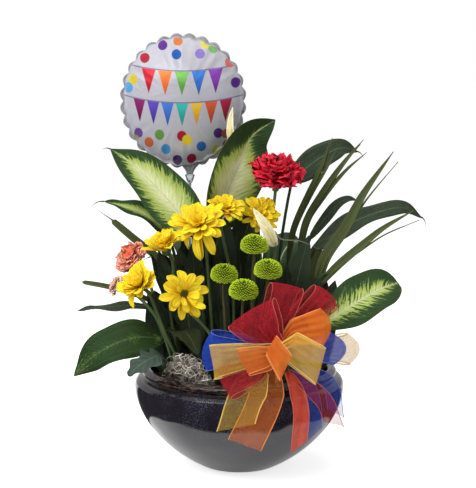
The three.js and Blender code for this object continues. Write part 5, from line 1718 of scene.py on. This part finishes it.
class FlowerSettings(bpy.types.PropertyGroup):
    # The daisy base colour is darker as painted shade where the petals crowd at the heart.
    daisy_base: colour_property("Daisy, base", "e6ad14")
    daisy_tip: colour_property("Daisy, tip", "ffe130")
    button_green: colour_property("Button flower", "a8c322")
    carnation_red: colour_property("Red carnation", "e61c36")
    carnation_salmon: colour_property("Salmon carnation", "f0805c")
    carnation_peach: colour_property("Peach carnation", "e3ab90")


class RibbonSettings(bpy.types.PropertyGroup):
    red: colour_property("Red ribbon", "b01e2c")
    orange: colour_property("Orange ribbon", "e27428")
    yellow: colour_property("Yellow ribbon", "deb44c")
    blue: colour_property("Blue ribbon", "2449b8")


class BalloonSettings(bpy.types.PropertyGroup):
    ink_colour: colour_property("White ink", "b2b1ba")
    foil_colour: colour_property("Foil", "c2c2c9")
    dot_radius: bpy.props.FloatProperty(
        name="Dot radius", description="Radius of the printed dots", default=0.0072, unit="LENGTH",
        min=0.001)


class StageSettings(bpy.types.PropertyGroup):
    floor_size: bpy.props.FloatProperty(
        name="Floor size", description="Half the side of the floor", default=60.0, unit="LENGTH", min=1.0)
    ambient: bpy.props.FloatProperty(
        name="Ambient", description="Brightness of the surround", default=0.42, min=0.0)
    key_power: bpy.props.FloatProperty(
        name="Key power", description="Power of the main light", default=50.0, unit="POWER", min=0.0)
    camera_place: bpy.props.FloatVectorProperty(
        name="Camera", description="Place of the camera", default=(-0.0016, -1.6, 0.49),
        subtype="TRANSLATION", unit="LENGTH")
    camera_tilt: bpy.props.FloatProperty(
        name="Tilt", description="Camera's angle from straight down", default=math.radians(82.5),
        subtype="ANGLE")
    focal_length: bpy.props.FloatProperty(
        name="Focal length", description="For a frame whose long side is 36 mm", default=95.83, min=10.0)


# Shade, selvedge wire and thread cover of each ribbon, and each carnation's painted-shade colour (for its
# petals' base, grooves and low tone) and petal's edge
RIBBON_SHADES = [("red", "7e1422", "b83a34", 0.2), ("orange", "c05a16", "ec9a40", 0.16),
                 ("yellow", "b98c2c", "f0d878", 0.06), ("blue", "16318e", "3c5fd0", 0.24)]
CARNATION_SHADES = [("red", "b80f26", "e83248"), ("salmon", "dc5f4a", "f8a28c"),
                    ("peach", "d0907c", "f4c8b8")]


def flower_paints():
    """Every finish of the flowers."""
    flowers = bpy.context.scene.planter_flowers
    # The shade colours given to petal_paint are the colours of painted shade.
    paints = {
        "stem": stem_paint("stem_green", "5f6f44", "3c4c2a"),
        "brown_stem": stem_paint("stem_olive", "665f38", "433c20"),
        "calyx": stem_paint("calyx_green", "5f7548", "3f5734"),
        "daisy_petal": petal_paint("daisy_petal", flowers.daisy_base, flowers.daisy_tip,
                                   rgb("b98d14"), 2.5, 0.5),
        "daisy_disc": petal_paint("daisy_disc", rgb("6b6417"), rgb("6b6417"), rgb("3d3b10"), 1.0, 0.7),
        "button_floret": petal_paint("button_floret", rgb("4c6610"), flowers.button_green,
                                     rgb("7f9c1c"), 1.0, 0.6, rgb("c8de40")),
        "button_core": petal_paint("button_core", rgb("465e10"), rgb("465e10"), rgb("384c0c"), 1.0, 0.8),
    }
    for name, shade, edge in CARNATION_SHADES:
        colour = list(getattr(flowers, f"carnation_{name}"))
        paints[f"carnation_{name}_petal"] = petal_paint(
            f"carnation_{name}", rgb(shade), colour, rgb(shade), 3.0, 0.8, rgb(edge))
    return paints


class PLANTER_OT_stage(bpy.types.Operator):
    """Make the floor, the light and the camera"""
    bl_idname = "planter.stage"
    bl_label = "Stage"

    def execute(self, context):
        make_stage(context.scene.planter_stage)
        return {"FINISHED"}


class PLANTER_OT_bowl(bpy.types.Operator):
    """Make the glazed bowl, the soil and the moss"""
    bl_idname = "planter.bowl"
    bl_label = "Bowl, soil and moss"

    def execute(self, context):
        make_bowl(context.scene.planter_bowl)
        make_soil()
        make_moss()
        return {"FINISHED"}


class PLANTER_OT_balloon(bpy.types.Operator):
    """Make the foil balloon with its stick and cup"""
    bl_idname = "planter.balloon"
    bl_label = "Balloon"

    def execute(self, context):
        make_balloon(context.scene.planter_balloon)
        make_stick()
        return {"FINISHED"}


class PLANTER_OT_leaves(bpy.types.Operator):
    """Make the broad leaves and the palm blades"""
    bl_idname = "planter.leaves"
    bl_label = "Leaves"

    def execute(self, context):
        settings = context.scene.planter_foliage
        stem = stem_paint("leaf_stalk", "3c4a2a", "243218")
        paints = {
            "variegated_wide": variegated("variegated_wide", 1.0, 0.68, 0.58, 1.9, settings),
            "variegated_narrow": variegated("variegated_narrow", 4.0, 0.42, 0.6, 1.2, settings),
            "variegated_low": variegated("variegated_low", 7.0, 0.82, 0.36, 1.4, settings),
            "variegated_feather": variegated("variegated_feather", 10.0, 0.32, 0.62, 2.8, settings),
            "variegated_back": variegated("variegated_back", 16.0, -0.12, 0.6, 1.5, settings),
            "variegated_flecked": variegated("variegated_flecked", 13.0, -0.2, 0.9, 2.6, settings, "4a5f3a"),
            "dark_plain": dark_leaf("dark_plain", "3c4628", "242d1a", 60.0, 0.15, 0.5),
            "dark_ribbed": dark_leaf("dark_ribbed", "43523c", "1a261e", 60.0, 0.6, 0.42, -0.75),
            "lobed": dark_leaf("lobed_leaf", "4b5b50", "2c3a34", 46.0, 0.5, 0.6),
        }
        make_leaves(paints, stem)
        make_palms(blade_paint("palm_blade", "616c3e", "26331c"), stem)
        return {"FINISHED"}


class PLANTER_OT_flowers(bpy.types.Operator):
    """Make the daisies, button flowers, carnations and peace-lily flowers"""
    bl_idname = "planter.flowers"
    bl_label = "Flowers"

    def execute(self, context):
        paints = flower_paints()
        spadix = stem_paint("spadix_cream", "efe3a8", "d2c07a")
        make_spathes(spathe_paint(), paints["stem"], spadix, stem_paint("stem_grey", "8f9c7c", "6d7d60"))
        make_daisies(paints)
        make_buttons(paints)
        make_carnations(paints)
        return {"FINISHED"}


class PLANTER_OT_bow(bpy.types.Operator):
    """Make the ribbon bow and its pick"""
    bl_idname = "planter.bow"
    bl_label = "Ribbon bow"

    def execute(self, context):
        ribbons = context.scene.planter_ribbons
        paints = {"pick_wood": pick_wood(), "silver_wire": edge_wire("silver_wire", rgb("a9a9ad"))}
        for name, shade, wire, cover in RIBBON_SHADES:
            colour, shade = list(getattr(ribbons, name)), rgb(shade)
            paints[f"ribbon_{name}"] = organza(f"organza_{name}", colour, shade, cover)
            paints[f"ribbon_{name}_hung"] = organza(f"organza_{name}_single", colour, shade, cover - 0.15)
            paints[f"ribbon_{name}_wire"] = edge_wire(f"ribbon_{name}_edge", rgb(wire))
        paints["ribbon_red_bright"] = organza("organza_red_bright", rgb("dc5238"), rgb("c03428"), 0.3)
        make_bow(paints)
        return {"FINISHED"}


class PLANTER_PT_panel(bpy.types.Panel):
    """Sizes, colours and steps of the planter"""
    bl_idname = "PLANTER_PT_panel"
    bl_label = "Planter"
    bl_space_type = "VIEW_3D"
    bl_region_type = "UI"
    bl_category = "Planter"

    def draw(self, context):
        for operator, (name, kind) in zip(OPERATORS, SETTINGS.items()):
            box = self.layout.box()
            box.operator(operator.bl_idname)
            for key in kind.__annotations__:
                box.prop(getattr(context.scene, name), key)


SETTINGS = {
    "planter_stage": StageSettings,
    "planter_bowl": BowlSettings,
    "planter_balloon": BalloonSettings,
    "planter_foliage": FoliageSettings,
    "planter_flowers": FlowerSettings,
    "planter_ribbons": RibbonSettings,
}
OPERATORS = [PLANTER_OT_stage, PLANTER_OT_bowl, PLANTER_OT_balloon, PLANTER_OT_leaves, PLANTER_OT_flowers,
             PLANTER_OT_bow]


def card(name, points, faces, colour, glow=0.0, shine=0.0):
    """A matt card for the stage. The camera sees its glow, and reflections see its shine."""
    mesh = bpy.data.meshes.new(name)
    mesh.from_pydata(points, [], faces)
    material = bpy.data.materials.new(name)
    material.use_nodes = True
    paint = Paint(material.node_tree)
    shader = material.node_tree.nodes["Principled BSDF"]
    shader.inputs["Base Color"].default_value = colour
    shader.inputs["Roughness"].default_value = 0.9
    shader.inputs["Specular IOR Level"].default_value = 0.1
    if glow:
        seen, reflected = (paint.node("ShaderNodeLightPath", None, out) for out in (0, 3))
        dim = paint.mix(reflected, (0, 0, 0, 1), (shine, shine, shine, 1))
        paint.plug(shader.inputs["Emission Color"], paint.mix(seen, dim, (glow, glow, glow, 1)))
        shader.inputs["Emission Strength"].default_value = 1.0
    mesh.materials.append(material)
    thing = bpy.data.objects.new(name, mesh)
    bpy.context.scene.collection.objects.link(thing)
    return thing


# How far the dark floor that reflections see stands over the pale one, in metres
FLOOR_GAP = 0.0004


def floor_ring():
    """Points and faces of the floor in front and at the sides of the bowl, from a wavy inner edge
    r = 0.172 + 0.02 cos 2a + 0.006 sin 7a out to 3 m, for a from -225 to 45 degrees."""
    a = np.radians(np.linspace(-225, 45, 110))[:, None]
    inner = 0.172 + 0.02 * np.cos(2 * a) + 0.006 * np.sin(7 * a)
    r = inner + (3.0 - inner) * np.array([[0.0, 1.0]])
    points = points_at(r * np.cos(a), r * np.sin(a), FLOOR_GAP).reshape(-1, 3)
    first = 2 * np.arange(len(a) - 1)[:, None]
    return points.tolist(), (first + [0, 1, 3, 2]).tolist()


def soft_light(name, place, height, size, power):
    """A rectangular area light, aimed at a height on the bowl's own axis."""
    data = bpy.data.lights.new(name, "AREA")
    data.shape = "RECTANGLE"
    data.size, data.size_y = size
    data.energy = power
    light = bpy.data.objects.new(name, data)
    light.location = place
    light.rotation_euler = (Vector((0, 0, height)) - Vector(place)).to_track_quat("-Z", "Y").to_euler()
    bpy.context.scene.collection.objects.link(light)
    return light


def make_stage(settings):
    """A pale floor, a white surround, three soft lights that reflections don't show, a strip of light and
    dark cards that only reflections show, and the camera."""
    scene = bpy.context.scene
    scene.view_settings.view_transform = "Standard"
    scene.cycles.transparent_max_bounces = 32
    world = bpy.data.worlds.new("surround")
    scene.world = world
    world.use_nodes = True
    paint = Paint(world.node_tree)
    seen = paint.node("ShaderNodeLightPath")
    ambient = [settings.ambient] * 3 + [1.0]
    background = world.node_tree.nodes["Background"]
    paint.plug(background.inputs["Color"], paint.mix(seen, ambient, (1, 1, 1, 1)))
    half = settings.floor_size
    whole = [(0, 1, 2, 3)]
    card("floor", [(-half, -half, 0), (half, -half, 0), (half, half, 0), (-half, half, 0)], whole,
         (0.7, 0.7, 0.7, 1), glow=0.72, shine=0.2)
    far, side, back, tall, dark = -1.5, 1.3, 0.42, 1.2, (0.03, 0.03, 0.035, 1)
    flags = [card("dark_floor", *floor_ring(), dark)]
    for name, first, second in (("dark_room", (-side, far), (side, far)),
                                ("dark_left", (-side, back), (-side, far)),
                                ("dark_right", (side, back), (side, far))):
        corners = [(*first, 0), (*second, 0), (*second, tall), (*first, tall)]
        flags.append(card(name, corners, whole, dark))
    for flag in flags:
        flag.visible_camera = flag.visible_diffuse = flag.visible_transmission = flag.visible_shadow = False
    for name, place, height, size, power in (("key", (-1.3, -1.0, 1.7), 0.25, (1.9, 1.5), settings.key_power),
                                             ("fill", (1.5, -1.3, 1.2), 0.25, (1.2, 1.2), 10.0),
                                             ("top", (0.0, 0.3, 2.0), 0.2, (1.4, 1.0), 14.0)):
        soft_light(name, place, height, size, power).visible_glossy = False
    strip = soft_light("strip", (-0.5, -1.2, 1.3), 0.12, (1.5, 0.12), 1.6)
    strip.visible_diffuse = strip.visible_camera = False
    data = bpy.data.cameras.new("camera")
    data.sensor_width = 36.0
    data.lens = settings.focal_length
    camera = bpy.data.objects.new("camera", data)
    camera.location = settings.camera_place
    camera.rotation_euler = (settings.camera_tilt, 0.0, 0.0)
    scene.collection.objects.link(camera)
    scene.camera = camera


def register():
    for kind in [*SETTINGS.values(), *OPERATORS, PLANTER_PT_panel]:
        bpy.utils.register_class(kind)
    for name, kind in SETTINGS.items():
        setattr(bpy.types.Scene, name, bpy.props.PointerProperty(type=kind))


def unregister():
    for name in SETTINGS:
        delattr(bpy.types.Scene, name)
    for kind in reversed([*SETTINGS.values(), *OPERATORS, PLANTER_PT_panel]):
        bpy.utils.unregister_class(kind)


def main():
    register()
    make_groups()
    bpy.ops.planter.stage()
    bpy.ops.planter.bowl()
    bpy.ops.planter.balloon()
    bpy.ops.planter.leaves()
    bpy.ops.planter.flowers()
    bpy.ops.planter.bow()


if __name__ == "__main__":
    main()
